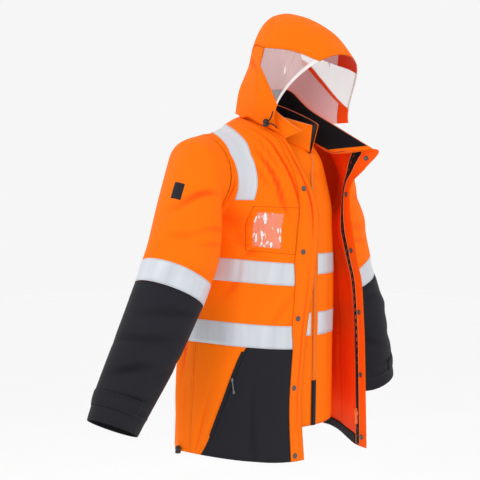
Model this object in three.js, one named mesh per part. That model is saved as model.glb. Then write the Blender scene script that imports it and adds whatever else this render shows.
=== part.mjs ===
// Hi-vis work jacket: a hooded parka worn open over its zip-in vest, hollow, with its arms held out a little.
// Millimetres, +Z up. The garment faces -Y and the wearer's right is -X. The origin is the neck's middle.
import * as THREE from "three";

// Cloth walls and seams
const CLOTH = 2;
const LAYER = 0.8;
const SEAM = 0.3;
const FILM = 1;
const ZIP_GAP = 0.5;
const HOOD_GAP = 0.3;
const WINDOW_LIFT = 0.5;
const WINDOW_INSET = 7;
const ARMHOLE_GAP = 0.85;
const COLLAR_LAYER = 1.4;
const LINING_INSET = 1;
const LINING_DROP = 0.5;
const SHOULDER_LEAN = 0.3;

// Small hard pieces
const ROUND_SIDES = 12;
const STUD_RADIUS = 6;
const STUD_TOP = 5.1;
const STUD_HEIGHT = 2.4;
const LOCK_RADIUS = 6.5;
const LOCK_LENGTH = 15;
const CORD_RADIUS = 1.5;
const CORD_STEPS = 6;
const CORD_SIDES = 8;
const STUD_LIFT = 0.5;
const STUD_Z = [-786, -631, -473, -321, -175];
const SOCKET_Z = [-776, -624, -472, -322, -186];
const CORNER_Z = -100;
const CORNER_LIFT = 3.6;
const SLIDER_Z = -706;
const SLIDER_SIZE = [11, 15, 4];
const PULLER_SIZE = [5, 26, 2];
const POCKET_PULL_Z = -606;
const LABEL_COL = 5;
const LABEL_ROW = 3;
const LABEL_INSET = 8;
const LOCK_ROW = 2;
const LOCK_SHARE = 0.4;
const LOCK_LIFT = 1.9;
const HEM_LOCK_LIFT = 0.4;
const HEM_LOCK_Z = -776;

// Cord ends as points beside the exit in the lock's front
const UPPER_CORD = [[0, -0.4, 4], [-2, -6, 6], [-4, -12, 10], [-5, -17, 17], [-5, -20, 26]];
const LOWER_CORD = [[0, -0.4, -2], [-1, -8, -2], [-1, -16, -4], [0, -23, -8], [1, -28, -14]];

// Finishes
const ORANGE = { color: 0xff7a00, roughness: 0.8, metalness: 0 };
const NAVY = { color: 0x2b2d3a, roughness: 0.75, metalness: 0 };
const SILVER = { color: 0xc9ccd0, roughness: 0.45, metalness: 0.2 };
const CLEAR = { color: 0xeeeeee, roughness: 0.1, metalness: 0, transparent: true, opacity: 0.4 };
const FLEECE = { color: 0x17171f, roughness: 0.95, metalness: 0 };
const BLACK = { color: 0x15151a, roughness: 0.5, metalness: 0 };
const METAL = { color: 0x6a6a70, roughness: 0.35, metalness: 0.9 };
const SLIDER = { color: 0xff6a10, roughness: 0.4, metalness: 0 };

// Section rows of a half garment, from the hem up. steps is the number of grid steps up to the next row.
// e is the outer end, at the side seam or the armhole, i the inner end, at the front edge, neck or middle of
// the back. ef and es are the forward and sideways handle lengths at the outer end, is and il those at the
// inner end. x counts outwards from the middle, y backwards, z upwards.
const ROW = ["steps", "ex", "ey", "ez", "ix", "iy", "iz", "ef", "es", "is", "il"];

const RIGHT_FRONT = [
  [3, 240, 12, -778, 45, -160, -800, 95, 0, 105, 4],
  [3, 234, 12, -670, 50, -156, -672, 92, 0, 105, 6],
  [1, 224, 10, -526, 43, -161, -543, 92, 0, 100, 6],
  [2, 221, 10, -474, 36, -163, -491, 92, 0, 100, 4],
  [1, 207, 8, -383, 21, -168, -400, 90, 0, 100, 4],
  [2, 200, 6, -332, 12, -168, -349, 88, 0, 100, 2],
  [1, 196, 5, -288, 6, -168, -312, 86, 2, 98, 1],
  [1, 194, 2, -245, 2, -167, -275, 80, 5, 95, 0],
  [1, 203, -48, -214, 0, -164, -220, 45, 25, 85, 0],
  [1, 197, -72, -170, 23, -160, -165, 30, 35, 62, 4],
  [1, 195, -70, -122, 48, -149, -116, 24, 40, 45, 2],
  [1, 199, -50, -85, 68, -123, -62, 16, 45, 40, 0],
  [1, 204, -24, -62, 80, -62, -28, 6, 45, 35, 2],
  [0, 208, 0, -50, 78, 0, -6, 0, 42, 36, 0],
];

const LEFT_FRONT = [
  [3, 244, 12, -778, 152, -194, -800, 70, 0, 4, -62],
  [3, 238, 12, -670, 150, -193, -672, 70, 0, 4, -62],
  [1, 228, 10, -526, 149, -191, -543, 75, 0, 4, -64],
  [2, 225, 10, -474, 148, -189, -491, 75, 0, 4, -64],
  [1, 210, 8, -383, 145, -185, -400, 75, 0, 0, -66],
  [2, 202, 6, -332, 138, -177, -349, 75, 0, 0, -66],
  [1, 197, 5, -288, 133, -174, -312, 75, 0, 0, -66],
  [1, 194, 2, -245, 128, -171, -275, 75, 0, 0, -66],
  [1, 203, -48, -214, 118, -170, -220, 50, 5, 0, -52],
  [1, 197, -72, -170, 114, -177, -163, 36, 20, 8, -46],
  [1, 195, -70, -122, 130, -209, -122, 30, 40, -14, -62],
  [1, 199, -50, -85, 139, -236, -80, 25, 60, -30, -72],
  [1, 204, -22, -62, 80, -145, -83, 20, 55, 20, -40],
  [0, 208, 0, -50, 78, 0, -6, 0, 42, 36, 0],
];

// The back shares its outer ends with the fronts up to the underarm, so these rows give its own armhole side.
const BACK = [
  [3, 240, 12, -778, 0, 190, -800, -98, 0, 128, 0],
  [3, 234, 12, -670, 0, 188, -670, -98, 0, 126, 0],
  [1, 224, 10, -526, 0, 184, -530, -96, 0, 122, 0],
  [2, 221, 10, -474, 0, 182, -478, -95, 0, 120, 0],
  [1, 207, 8, -383, 0, 176, -387, -92, 0, 116, 0],
  [2, 200, 6, -332, 0, 171, -336, -90, 0, 112, 0],
  [1, 196, 5, -288, 0, 167, -294, -88, 2, 108, 0],
  [1, 194, 2, -245, 0, 162, -250, -85, 5, 105, 0],
  [1, 204, 50, -214, 0, 156, -205, -50, 20, 100, 0],
  [1, 199, 74, -170, 0, 147, -155, -30, 35, 92, 0],
  [1, 198, 72, -122, 0, 112, -72, -24, 40, 85, 0],
  [1, 201, 52, -85, 0, 47, 2, -16, 45, 70, 0],
  [1, 205, 26, -62, 45, 35, 2, -4, 45, 40, 0],
  [0, 208, 0, -50, 78, 0, -6, 0, 42, 36, 0],
];

const VEST_FRONT = [
  [3, 186, 6, -728, 4, -150, -728, 80, 0, 92, 0],
  [1, 187, 6, -517, 4, -154, -517, 82, 0, 92, 0],
  [2, 187, 5, -463, 4, -155, -463, 82, 0, 92, 0],
  [1, 186, 4, -375, 4, -155, -375, 82, 0, 92, 0],
  [1, 184, 3, -326, 4, -155, -326, 82, 0, 92, 0],
  [1, 181, 1, -262, 4, -154, -262, 78, 0, 90, 0],
  [1, 166, -52, -222, 4, -151, -215, 45, 15, 80, 0],
  [1, 156, -60, -160, 4, -147, -150, 30, 25, 65, 0],
  [1, 158, -46, -110, 4, -143, -92, 22, 30, 48, 0],
  [1, 166, -20, -78, 63, -66, -45, 8, 30, 26, 0],
  [0, 174, 0, -45, 70, 0, -20, 0, 34, 30, 0],
];

const VEST_BACK = [
  [3, 186, 6, -728, 0, 150, -728, -80, 0, 100, 0],
  [1, 187, 6, -517, 0, 152, -517, -80, 0, 100, 0],
  [2, 187, 5, -463, 0, 152, -463, -80, 0, 100, 0],
  [1, 186, 4, -375, 0, 151, -375, -80, 0, 100, 0],
  [1, 184, 3, -326, 0, 149, -326, -80, 0, 100, 0],
  [1, 181, 1, -262, 0, 146, -262, -78, 0, 98, 0],
  [1, 168, 54, -222, 0, 141, -205, -40, 18, 90, 0],
  [1, 160, 62, -160, 0, 116, -104, -28, 26, 80, 0],
  [1, 162, 48, -110, 0, 40, -13, -20, 32, 70, 0],
  [1, 168, 24, -78, 41, 30, -16, -8, 34, 36, 0],
  [0, 174, 0, -45, 70, 0, -20, 0, 34, 30, 0],
];

// Grid lines across each half, as shares of the way from the outer end, at the hem, the foot of the lower
// band, the top of the upper band, the middle of the armhole and the top. Between two lines are n steps.
const LINE = ["n", "hem", "band", "chest", "mid", "top"];

const RIGHT_LINES = [
  [2, 0, 0, 0, 0, 0],
  [1, 0.1, 0.46, 0.26, 0.06, 0.2],
  [2, 0.36, 0.58, 0.36, 0.34, 0.56],
  [1, 0.64, 0.72, 0.67, 0.66, 0.78],
  [1, 0.86, 0.86, 0.78, 0.8, 0.9],
  [1, 0.94, 0.94, 0.91, 0.92, 0.96],
  [0, 1, 1, 1, 1, 1],
];

const LEFT_LINES = [
  [2, 0, 0, 0, 0, 0],
  [1, 0.2, 0.3, 0.2, 0.12, 0.2],
  [2, 0.4, 0.45, 0.42, 0.36, 0.56],
  [1, 0.8, 0.82, 0.82, 0.66, 0.84],
  [1, 0.84, 0.86, 0.86, 0.7, 0.88],
  [1, 0.92, 0.92, 0.93, 0.9, 0.94],
  [0, 1, 1, 1, 1, 1],
];

const BACK_LINES = [
  [2, 0, 0, 0, 0, 0],
  [1, 0.24, 0.3, 0.3, 0.2, 0.2],
  [3, 0.44, 0.5, 0.5, 0.42, 0.56],
  [0, 1, 1, 1, 1, 1],
];

const VEST_LINES = [
  [6, 0, 0, 0, 0, 0],
  [0, 1, 1, 1, 1, 1],
];

// Rows by name, as indices in the half tables
const BAND_2_LOW = 2;
const BAND_2_TOP = 3;
const BAND_1_LOW = 4;
const BAND_1_TOP = 5;
const UNDERARM = 7;
const ARM_MIDDLE = 10.5;
const SHOULDER = 13;
const VEST_BANDS = [[1, 2], [3, 4]];
const VEST_UNDERARM = 5;
const VEST_SHOULDER = 10;
const VEST_ZIP_TOP = 8;
const CHEST = 8;
const RIGHT_FLAP_SHORT = 3;
const LEFT_FLAP_SHORT = 2;

// Sleeve rings below the armhole: middle, tilt of the ring's outer side above level, radii outwards and
// forwards, and the steps to the next ring.
const RING = ["steps", "x", "yr", "yl", "z", "tilt", "out", "fore"];
const SLEEVE = [
  [2, 244, -4, 2, -162, 72, 92, 82],
  [2, 267, -17, 10, -226, 54, 88, 82],
  [1, 298, -27, 13, -314, 30, 84, 79],
  [1, 319, -25, 12, -366, 27, 82, 77],
  [3, 338, -21, 10, -411, 26, 81, 75],
  [3, 392, -7, 7, -530, 25, 75, 70],
  [1, 440, 9, 12, -630, 25, 67, 61],
  [1, 454, 12, 14, -660, 25, 63, 56],
  [0, 468, 15, 15, -690, 25, 60, 52],
];
const SLEEVE_BAND = [3, 4];
const SLEEVE_TAB = [6, 7];
const TAB_COLUMNS = [3, 8];

// Hood ribs from the face opening to the back of the neck. r and l are the feet of each rib at the neck,
// right and left, ro and lo their handles outwards, rb and lb backwards, up the handle up, y and z the top in
// the middle, wide its handle to each side, and foot and seam the shares of the way up at the lower and the
// upper edge of the window.
const RIB = [
  "steps", "rx", "ry", "rz", "ro", "rb", "lx", "ly", "lz", "lo", "lb", "up", "y", "z", "wide",
  "rfoot", "rseam", "lfoot", "lseam",
];
const HOOD = [
  [2, 75, -122, -50, 36, 62, 112, -170, -14, 8, 22, 54, -246, 130, 108, 0.32, 0.76, 0.19, 0.62],
  [2, 86, -90, -33, 26, 20, 104, -126, -14, 10, 10, 90, -194, 190, 106, 0.31, 0.61, 0.245, 0.5],
  [2, 88, -54, -19, 26, 0, 96, -82, -8, 14, 0, 118, -114, 234, 104, 0.38, 0.5, 0.32, 0.46],
  [2, 84, -24, -5, 6, 0, 90, -38, 0, 14, 0, 122, -48, 238, 90, 0.5, 0.5, 0.44, 0.54],
  [2, 79, 2, -4.5, 0, -8, 84, 4, -5.6, 5, -8, 96, -10, 158, 76, 0.5, 0.5, 0.5, 0.5],
  [2, 70, 24, 5, 2, -4, 74, 27, 5, 2, -4, 62, 31, 82, 70, 0.5, 0.55, 0.5, 0.55],
  [0, 57, 42, 8, 3, 5, 57, 42, 8, 3, 5, 5, 56, 16, 42, 0.5, 0.6, 0.5, 0.6],
];
const HOOD_FOOT_STEPS = 3;
const HOOD_WINDOW_STEPS = 3;
const HOOD_CROWN_STEPS = 3;
const RIGHT_WINDOW_ROWS = 4;
const LEFT_WINDOW_ROWS = 6;

// Collars, from the right front end round the back to the left front end. b is the foot, t the top edge.
const COLLAR_ROW = ["steps", "bx", "by", "bz", "tx", "ty", "tz"];
const COLLAR = [
  [2, -66, -121, -57, -38, -150, -42],
  [2, -74, -92, -36, -70, -112, -4],
  [2, -77, -50, -18, -75, -64, 38],
  [2, -74, -6, -2, -70, -14, 58],
  [2, -42, 32, 6, -40, 20, 68],
  [2, 0, 46.2, 2.6, 0, 30, 72],
  [2, 42, 32, 6, 44, 20, 76],
  [2, 75, -6, -2, 76, -16, 72],
  [2, 79, -66, -45, 86, -86, 14],
  [0, 79, -138, -78, 134, -232, -76],
];
const VEST_COLLAR = [
  [2, -3, -143, -89, -4, -153, -26],
  [2, -58, -74, -46, -58, -98, -4],
  [2, -66, -8, -18, -62, -16, 28],
  [2, -38, 27, -12, -36, 18, 42],
  [2, 0, 36.6, -10.2, 0, 26, 46],
  [2, 38, 27, -12, 36, 16, 42],
  [2, 66, -8, -18, 62, -20, 26],
  [2, 57, -78, -50, 58, -98, -6],
  [0, 3, -143, -89, 24, -148, -22],
];
const COLLAR_HEIGHT_STEPS = 2;

// Soft folds: middle across and up the half, both as shares of its span, half length and half width in
// millimetres, the lean of the fold in degrees from upright, and its height, negative for a trough.
const FOLD = ["u", "v", "length", "width", "lean", "height"];
const BODY_SPAN = [320, 800];
const SLEEVE_SPAN = [520, 640];
const RIGHT_FOLDS = [
  [0.2, 0.3, 120, 22, 12, 5],
  [0.36, 0.62, 110, 24, -28, -5],
  [0.7, 0.16, 120, 30, 4, 4],
];
const LEFT_FOLDS = [
  [0.3, 0.25, 140, 24, 5, -6],
  [0.5, 0.5, 130, 24, -6, 6],
];
const BACK_FOLDS = [
  [0.25, 0.2, 140, 30, 6, 7],
  [0.5, 0.35, 150, 30, -4, -7],
  [0.3, 0.62, 100, 26, 24, -6],
  [0.8, 0.18, 130, 30, 0, 6],
];
const SLEEVE_FOLDS = [
  [0.42, 0.3, 60, 20, 62, 5],
  [0.3, 0.42, 70, 20, 60, -5],
  [0.35, 0.6, 60, 18, 70, 4],
  [0.8, 0.5, 60, 20, -60, -5],
  [0.4, 0.76, 50, 18, 66, -4],
];

const PIECES = [];

// A table row as an object with named columns
function named(columns, row) {
  return Object.fromEntries(columns.map((name, k) => [name, row[k]]));
}

// Smooth value of a column at a place along the rows, by a Catmull-Rom curve
function along(rows, column, place) {
  const last = rows.length - 1;
  const k = Math.min(Math.floor(place), last - 1);
  const t = place - k;
  const at = (n) => rows[Math.max(0, Math.min(last, n))][column];
  const [a, b, c, d] = [at(k - 1), at(k), at(k + 1), at(k + 2)];
  const bend = (2 * a - 5 * b + 4 * c - d) * t * t + (3 * b - a - 3 * c + d) * t * t * t;
  return 0.5 * (2 * b + (c - a) * t + bend);
}

// Places along the rows, with each row's own number of steps
function places(rows) {
  const list = [];
  rows.forEach((row, k) => {
    for (let n = 0; n < row.steps; n += 1) list.push(k + n / row.steps);
  });
  list.push(rows.length - 1);
  return list;
}

// Index in the list of places where a table row starts
function rowIndex(rows, row) {
  return rows.slice(0, row).reduce((sum, r) => sum + r.steps, 0);
}

// Point of a cubic curve from a to d with handle ends b and c
function cubic(a, b, c, d, t) {
  const s = 1 - t;
  return new THREE.Vector3()
    .addScaledVector(a, s * s * s)
    .addScaledVector(b, 3 * s * s * t)
    .addScaledVector(c, 3 * s * t * t)
    .addScaledVector(d, t * t * t);
}

// Patch of points with normals by differences. flip turns the normals round.
function patch(points, flip, closed = false) {
  const rows = points.length;
  const cols = points[0].length;
  const normals = points.map((row, j) => row.map((_, i) => {
    const left = closed ? (i + cols - 1) % cols : Math.max(0, i - 1);
    const right = closed ? (i + 1) % cols : Math.min(cols - 1, i + 1);
    const across = points[j][right].clone().sub(points[j][left]);
    const up = points[Math.min(rows - 1, j + 1)][i].clone().sub(points[Math.max(0, j - 1)][i]);
    const normal = across.cross(up).normalize();
    return flip ? normal.negate() : normal;
  }));
  return { points, normals, rows, cols, closed, flip };
}

// Pushes a patch out along its normals by its folds, except where it is held
function crease(surface, folds, span, held) {
  return surface.points.map((row, j) => row.map((point, i) => {
    if (held(i, j)) return point;
    const u = i / (surface.closed ? surface.cols : surface.cols - 1);
    const v = j / (surface.rows - 1);
    let push = 0;
    for (const row of folds) {
      const fold = named(FOLD, row);
      const angle = THREE.MathUtils.degToRad(fold.lean);
      const x = (u - fold.u) * span[0];
      const y = (v - fold.v) * span[1];
      const long = y * Math.cos(angle) + x * Math.sin(angle);
      const wide = x * Math.cos(angle) - y * Math.sin(angle);
      push += fold.height * Math.exp(-((long / fold.length) ** 2) - (wide / fold.width) ** 2);
    }
    return point.clone().addScaledVector(surface.normals[j][i], push);
  }));
}

// Share of the way across at a grid line, from its values at the five heights
function lineAt(line, height, heights) {
  const keys = LINE.slice(1);
  for (let k = 0; k < keys.length - 1; k += 1) {
    if (height <= heights[k + 1] || k === keys.length - 2) {
      const t = (height - heights[k]) / (heights[k + 1] - heights[k]);
      return line[keys[k]] + (line[keys[k + 1]] - line[keys[k]]) * t;
    }
  }
  return 1;
}

// Half garment as a patch: rows from the hem up, columns from the outer end in. side is -1 right, 1 left.
function half(table, lineTable, side, flip, folds, heights) {
  const rows = table.map((row) => named(ROW, row));
  const lines = lineTable.map((row) => named(LINE, row));
  const shares = (height) => {
    const list = [];
    for (let k = 0; k < lines.length - 1; k += 1) {
      const a = lineAt(lines[k], height, heights);
      const b = lineAt(lines[k + 1], height, heights);
      for (let n = 0; n < lines[k].n; n += 1) list.push(a + ((b - a) * n) / lines[k].n);
    }
    list.push(1);
    return list;
  };
  const points = places(rows).map((place) => {
    const at = (column) => along(rows, column, place);
    const outer = new THREE.Vector3(side * at("ex"), at("ey"), at("ez"));
    const inner = new THREE.Vector3(side * at("ix"), at("iy"), at("iz"));
    const b = new THREE.Vector3(-side * at("es"), -at("ef"), 0).add(outer);
    const c = new THREE.Vector3(side * at("is"), -at("il"), 0).add(inner);
    return shares(place).map((u) => cubic(outer, b, c, inner, u));
  });
  const flat = patch(points, flip);
  if (!folds) return flat;
  const last = flat.cols - 1;
  const top = flat.rows - 1;
  const held = (i, j) => i === 0 || i === last || j === top;
  return patch(crease(flat, folds, BODY_SPAN, held), flip);
}

// Index of a grid line's column
function column(lineTable, line) {
  return lineTable.slice(0, line).reduce((sum, row) => sum + row[0], 0);
}

// Sets one normal where patches share a point, so that their walls meet square
function shareNormals(patches) {
  const seen = new Map();
  const key = (p) => `${p.x.toFixed(2)},${p.y.toFixed(2)},${p.z.toFixed(2)}`;
  for (const one of patches) {
    one.points.forEach((row, j) => row.forEach((point, i) => {
      const name = key(point);
      if (!seen.has(name)) seen.set(name, new THREE.Vector3());
      seen.get(name).add(one.normals[j][i]);
    }));
  }
  for (const one of patches) {
    one.normals = one.points.map((row) => row.map((point) => seen.get(key(point)).clone().normalize()));
  }
}

// Sets the normals along each shoulder seam straight up from the slope of the shoulder
function squareShoulders(halves) {
  for (const [one, side] of halves) {
    const up = new THREE.Vector3(side * SHOULDER_LEAN, 0, 1).normalize();
    one.normals[one.rows - 1] = one.normals[one.rows - 1].map(() => up.clone());
  }
}

// All cells of a patch between two columns and two rows
function cells(one, i0 = 0, i1 = one.cols - 1, j0 = 0, j1 = one.rows - 1) {
  const list = [];
  for (let j = j0; j < j1; j += 1) {
    for (let i = i0; i < i1; i += 1) {
      const next = (i + 1) % one.cols;
      const quad = [[j, i], [j, next], [j + 1, next], [j + 1, i]].map(([r, c]) => (
        { point: one.points[r][c], normal: one.normals[r][c] }
      ));
      list.push(one.flip ? quad.reverse() : quad);
    }
  }
  return list;
}

// Closed wall over a set of cells, from one height over the surface to another. Its free edge is drawn in by
// half a seam, or by another amount.
function wall(name, finish, quads, low, high, inset = SEAM / 2) {
  const index = new Map();
  const points = [];
  const normals = [];
  const pick = ({ point, normal }) => {
    const key = `${point.x.toFixed(3)},${point.y.toFixed(3)},${point.z.toFixed(3)}`;
    if (!index.has(key)) {
      index.set(key, points.length);
      points.push(point.clone());
      normals.push(new THREE.Vector3());
    }
    normals[index.get(key)].add(normal);
    return index.get(key);
  };
  const faces = quads
    .map((quad) => quad.map(pick).filter((id, k, all) => id !== all[(k + 1) % all.length]))
    .filter((face) => face.length > 2);
  const edges = new Map();
  for (const face of faces) {
    face.forEach((a, k) => {
      const b = face[(k + 1) % face.length];
      if (edges.has(`${b},${a}`)) edges.delete(`${b},${a}`);
      else edges.set(`${a},${b}`, { a, b, face });
    });
  }
  const inward = new Map();
  for (const { a, b, face } of edges.values()) {
    const middle = face.reduce((sum, id) => sum.add(points[id]), new THREE.Vector3());
    middle.divideScalar(face.length);
    const edge = points[b].clone().sub(points[a]).normalize();
    const into = middle.sub(points[a].clone().lerp(points[b], 0.5));
    into.addScaledVector(edge, -into.dot(edge)).normalize();
    for (const id of [a, b]) {
      if (!inward.has(id)) inward.set(id, []);
      inward.get(id).push(into);
    }
  }
  for (const [id, list] of inward) {
    const [m, n] = [list[0], list[list.length - 1]];
    const reach = inset / Math.max(0.4, 1 + m.dot(n));
    points[id].addScaledVector(m, reach).addScaledVector(n, reach);
  }
  const positions = [];
  for (const height of [high, low]) {
    points.forEach((point, id) => {
      const lifted = point.clone().addScaledVector(normals[id].clone().normalize(), height);
      positions.push(lifted.x, lifted.y, lifted.z);
    });
  }
  const count = points.length;
  const triangles = [];
  for (const face of faces) {
    for (let k = 1; k < face.length - 1; k += 1) {
      triangles.push(face[0], face[k], face[k + 1]);
      triangles.push(face[0] + count, face[k + 1] + count, face[k] + count);
    }
  }
  for (const { a, b } of edges.values()) {
    triangles.push(b, a, a + count, b, a + count, b + count);
  }
  return solid(name, finish, positions, triangles);
}

// Mesh from points and triangles, turned so that its faces point out
function solid(name, finish, positions, triangles) {
  let volume = 0;
  const at = (id) => new THREE.Vector3(...positions.slice(3 * id, 3 * id + 3));
  for (let k = 0; k < triangles.length; k += 3) {
    const [a, b, c] = [at(triangles[k]), at(triangles[k + 1]), at(triangles[k + 2])];
    volume += a.dot(b.cross(c));
  }
  if (volume < 0) triangles.reverse();
  const geometry = new THREE.BufferGeometry();
  geometry.setAttribute("position", new THREE.Float32BufferAttribute(positions, 3));
  geometry.setIndex(triangles);
  return place(name, finish, geometry);
}

// Names a geometry, gives it its finish and keeps it
function place(name, finish, geometry) {
  const mesh = new THREE.Mesh(geometry, new THREE.MeshStandardMaterial(finish));
  mesh.name = name;
  PIECES.push(mesh);
  return mesh;
}

// Short round piece standing on a point of a patch, its axis along the normal and its top a little narrower
function button(name, finish, { point, normal }, lift) {
  const geometry = new THREE.CylinderGeometry(STUD_TOP, STUD_RADIUS, STUD_HEIGHT, ROUND_SIDES);
  const mesh = place(name, finish, geometry);
  mesh.quaternion.setFromUnitVectors(new THREE.Vector3(0, 1, 0), normal);
  mesh.position.copy(point).addScaledVector(normal, lift + STUD_HEIGHT / 2);
}

const halfCloth = CLOTH / 2;
const over = halfCloth + SEAM;
const over2 = over + LAYER + SEAM;

// Jacket body
const bodyHeights = [0, BAND_2_LOW, BAND_1_TOP, ARM_MIDDLE, SHOULDER];
const right = half(RIGHT_FRONT, RIGHT_LINES, -1, false, RIGHT_FOLDS, bodyHeights);
const left = half(LEFT_FRONT, LEFT_LINES, 1, true, LEFT_FOLDS, bodyHeights);
const backRows = (front) => BACK.map((row, k) => {
  if (k > UNDERARM) return row;
  return [row[0], ...front[k].slice(1, 4), ...row.slice(4)];
});
const backRight = half(backRows(RIGHT_FRONT), BACK_LINES, -1, true, BACK_FOLDS, bodyHeights);
const backLeft = half(backRows(LEFT_FRONT), BACK_LINES, 1, false, BACK_FOLDS, bodyHeights);

const bodyRow = (row) => rowIndex(RIGHT_FRONT.map((r) => named(ROW, r)), row);
const armRow = bodyRow(UNDERARM);

// Sleeve patch: ring points start at the underarm and run up the front and down the back
function sleeve(front, back, side) {
  const rings = SLEEVE.map((row) => named(RING, row));
  const loop = [];
  for (let j = armRow; j < front.rows; j += 1) loop.push(front.points[j][0]);
  for (let j = back.rows - 2; j > armRow; j -= 1) loop.push(back.points[j][0]);
  const sides = loop.length;
  const ring = (placeAt) => loop.map((_, k) => {
    const at = (name) => along(rings, name, placeAt);
    const angle = (k / sides) * 2 * Math.PI;
    const tilt = THREE.MathUtils.degToRad(at("tilt"));
    const outer = -Math.cos(angle) * at("out");
    return new THREE.Vector3(
      side * (at("x") + outer * Math.cos(tilt)),
      at(side < 0 ? "yr" : "yl") - Math.sin(angle) * at("fore"),
      at("z") + outer * Math.sin(tilt),
    );
  });
  const points = [loop, ...places(rings).map(ring)];
  const flat = patch(points, side > 0, true);
  const held = (i, j) => j < 2;
  return patch(crease(flat, SLEEVE_FOLDS, SLEEVE_SPAN, held), side > 0, true);
}

const sleeveRight = sleeve(right, backRight, -1);
const sleeveLeft = sleeve(left, backLeft, 1);
shareNormals([right, left, backRight, backLeft, sleeveRight, sleeveLeft]);
squareShoulders([[right, -1], [backRight, -1], [left, 1], [backLeft, 1]]);
for (const [one, side] of [[sleeveRight, -1], [sleeveLeft, 1]]) {
  one.points[0] = one.points[0].map((point) => point.clone().setX(point.x + side * ARMHOLE_GAP));
}

const b2Low = bodyRow(BAND_2_LOW);
const b2Top = bodyRow(BAND_2_TOP);
const b1Low = bodyRow(BAND_1_LOW);
const b1Top = bodyRow(BAND_1_TOP);
const slant = column(RIGHT_LINES, 1);
const zipAt = column(RIGHT_LINES, 5);
const flapAt = column(RIGHT_LINES, 4);
const leftSlant = column(LEFT_LINES, 2);
const leftZip = column(LEFT_LINES, 3);

const rightCells = [...cells(right, 0, slant, 0, b2Low), ...cells(right, 0, zipAt, b2Low)];
const leftCells = [...cells(left, 0, leftSlant, 0, b2Low), ...cells(left, 0, leftZip, b2Low)];
wall("right_front", ORANGE, rightCells, -halfCloth, halfCloth);
wall("right_pocket_panel", NAVY, cells(right, slant, zipAt, 0, b2Low), -halfCloth, halfCloth);
wall("left_front", ORANGE, leftCells, -halfCloth, halfCloth);
wall("left_pocket_panel", NAVY, cells(left, leftSlant, leftZip, 0, b2Low), -halfCloth, halfCloth);
wall("back", ORANGE, [...cells(backRight), ...cells(backLeft)], -halfCloth, halfCloth);

// Front edges: zip tapes and the storm flaps
const flapTop = right.rows - RIGHT_FLAP_SHORT;
const leftTop = left.rows - LEFT_FLAP_SHORT;
const rightTape = cells(right, zipAt, zipAt + 1, 0, flapTop);
wall("right_zip_tape", BLACK, rightTape, -halfCloth, halfCloth, ZIP_GAP);
wall("storm_flap", ORANGE, cells(right, flapAt, right.cols - 1, 0, flapTop), over, over + CLOTH);
const leftTape = cells(left, leftZip, leftZip + 1, 0, leftTop);
wall("left_zip_tape", BLACK, leftTape, -halfCloth, halfCloth, ZIP_GAP);
wall("left_flap", ORANGE, cells(left, leftZip + 1, left.cols - 1, 0, leftTop), -halfCloth, halfCloth);
const liningCells = cells(left, leftSlant, leftZip, 0, armRow + 1);
wall("left_lining", ORANGE, liningCells, -over - LAYER, -over);

// Sleeves
const rings = SLEEVE.map((row) => named(RING, row));
const ringIndex = (row) => 1 + rowIndex(rings, row);
const bandLow = ringIndex(SLEEVE_BAND[1]);
for (const [word, one] of [["right", sleeveRight], ["left", sleeveLeft]]) {
  wall(`${word}_upper_sleeve`, ORANGE, cells(one, 0, one.cols, 0, bandLow), -halfCloth, halfCloth);
  wall(`${word}_lower_sleeve`, NAVY, cells(one, 0, one.cols, bandLow), -halfCloth, halfCloth);
  const band = cells(one, 0, one.cols, ringIndex(SLEEVE_BAND[0]), bandLow);
  wall(`${word}_sleeve_band`, SILVER, band, over, over + LAYER);
  const tab = cells(one, ...TAB_COLUMNS, ringIndex(SLEEVE_TAB[0]), ringIndex(SLEEVE_TAB[1]));
  wall(`${word}_cuff_tab`, NAVY, tab, over, over + CLOTH);
}

// Reflective tape round the body, from the flap to the left zip, and over the shoulders
for (const [word, low, top] of [["upper", b1Low, b1Top], ["lower", b2Low, b2Top]]) {
  wall(`${word}_band`, SILVER, [
    ...cells(right, 0, flapAt, low, top),
    ...cells(backRight, 0, backRight.cols - 1, low, top),
    ...cells(backLeft, 0, backLeft.cols - 1, low, top),
    ...cells(left, 0, leftZip, low, top),
  ], over, over + LAYER);
}

const chestRow = bodyRow(CHEST);
for (const [word, front, frontLines, rear] of [
  ["right", right, RIGHT_LINES, backRight],
  ["left", left, LEFT_LINES, backLeft],
]) {
  wall(`${word}_brace`, SILVER, [
    ...cells(front, column(frontLines, 1), column(frontLines, 2), chestRow),
    ...cells(rear, column(BACK_LINES, 1), column(BACK_LINES, 2), b1Top),
  ], over, over + LAYER);
}

// Chest pocket for a pass, with its clear window
const pocketFrom = column(RIGHT_LINES, 2);
const windowTo = column(RIGHT_LINES, 3);
const pocketLow = b1Top + 1;
wall("id_pocket", ORANGE, cells(right, pocketFrom, flapAt, pocketLow, chestRow), over, over + LAYER);
const windowCells = cells(right, pocketFrom, windowTo, pocketLow, chestRow);
wall("id_window", CLEAR, windowCells, over2 + WINDOW_LIFT, over2 + WINDOW_LIFT + FILM, WINDOW_INSET);

// Even steps from one value up to another, without the last
function stretch(from, to, steps) {
  return Array.from({ length: steps }, (_, n) => from + ((to - from) * n) / steps);
}

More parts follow.
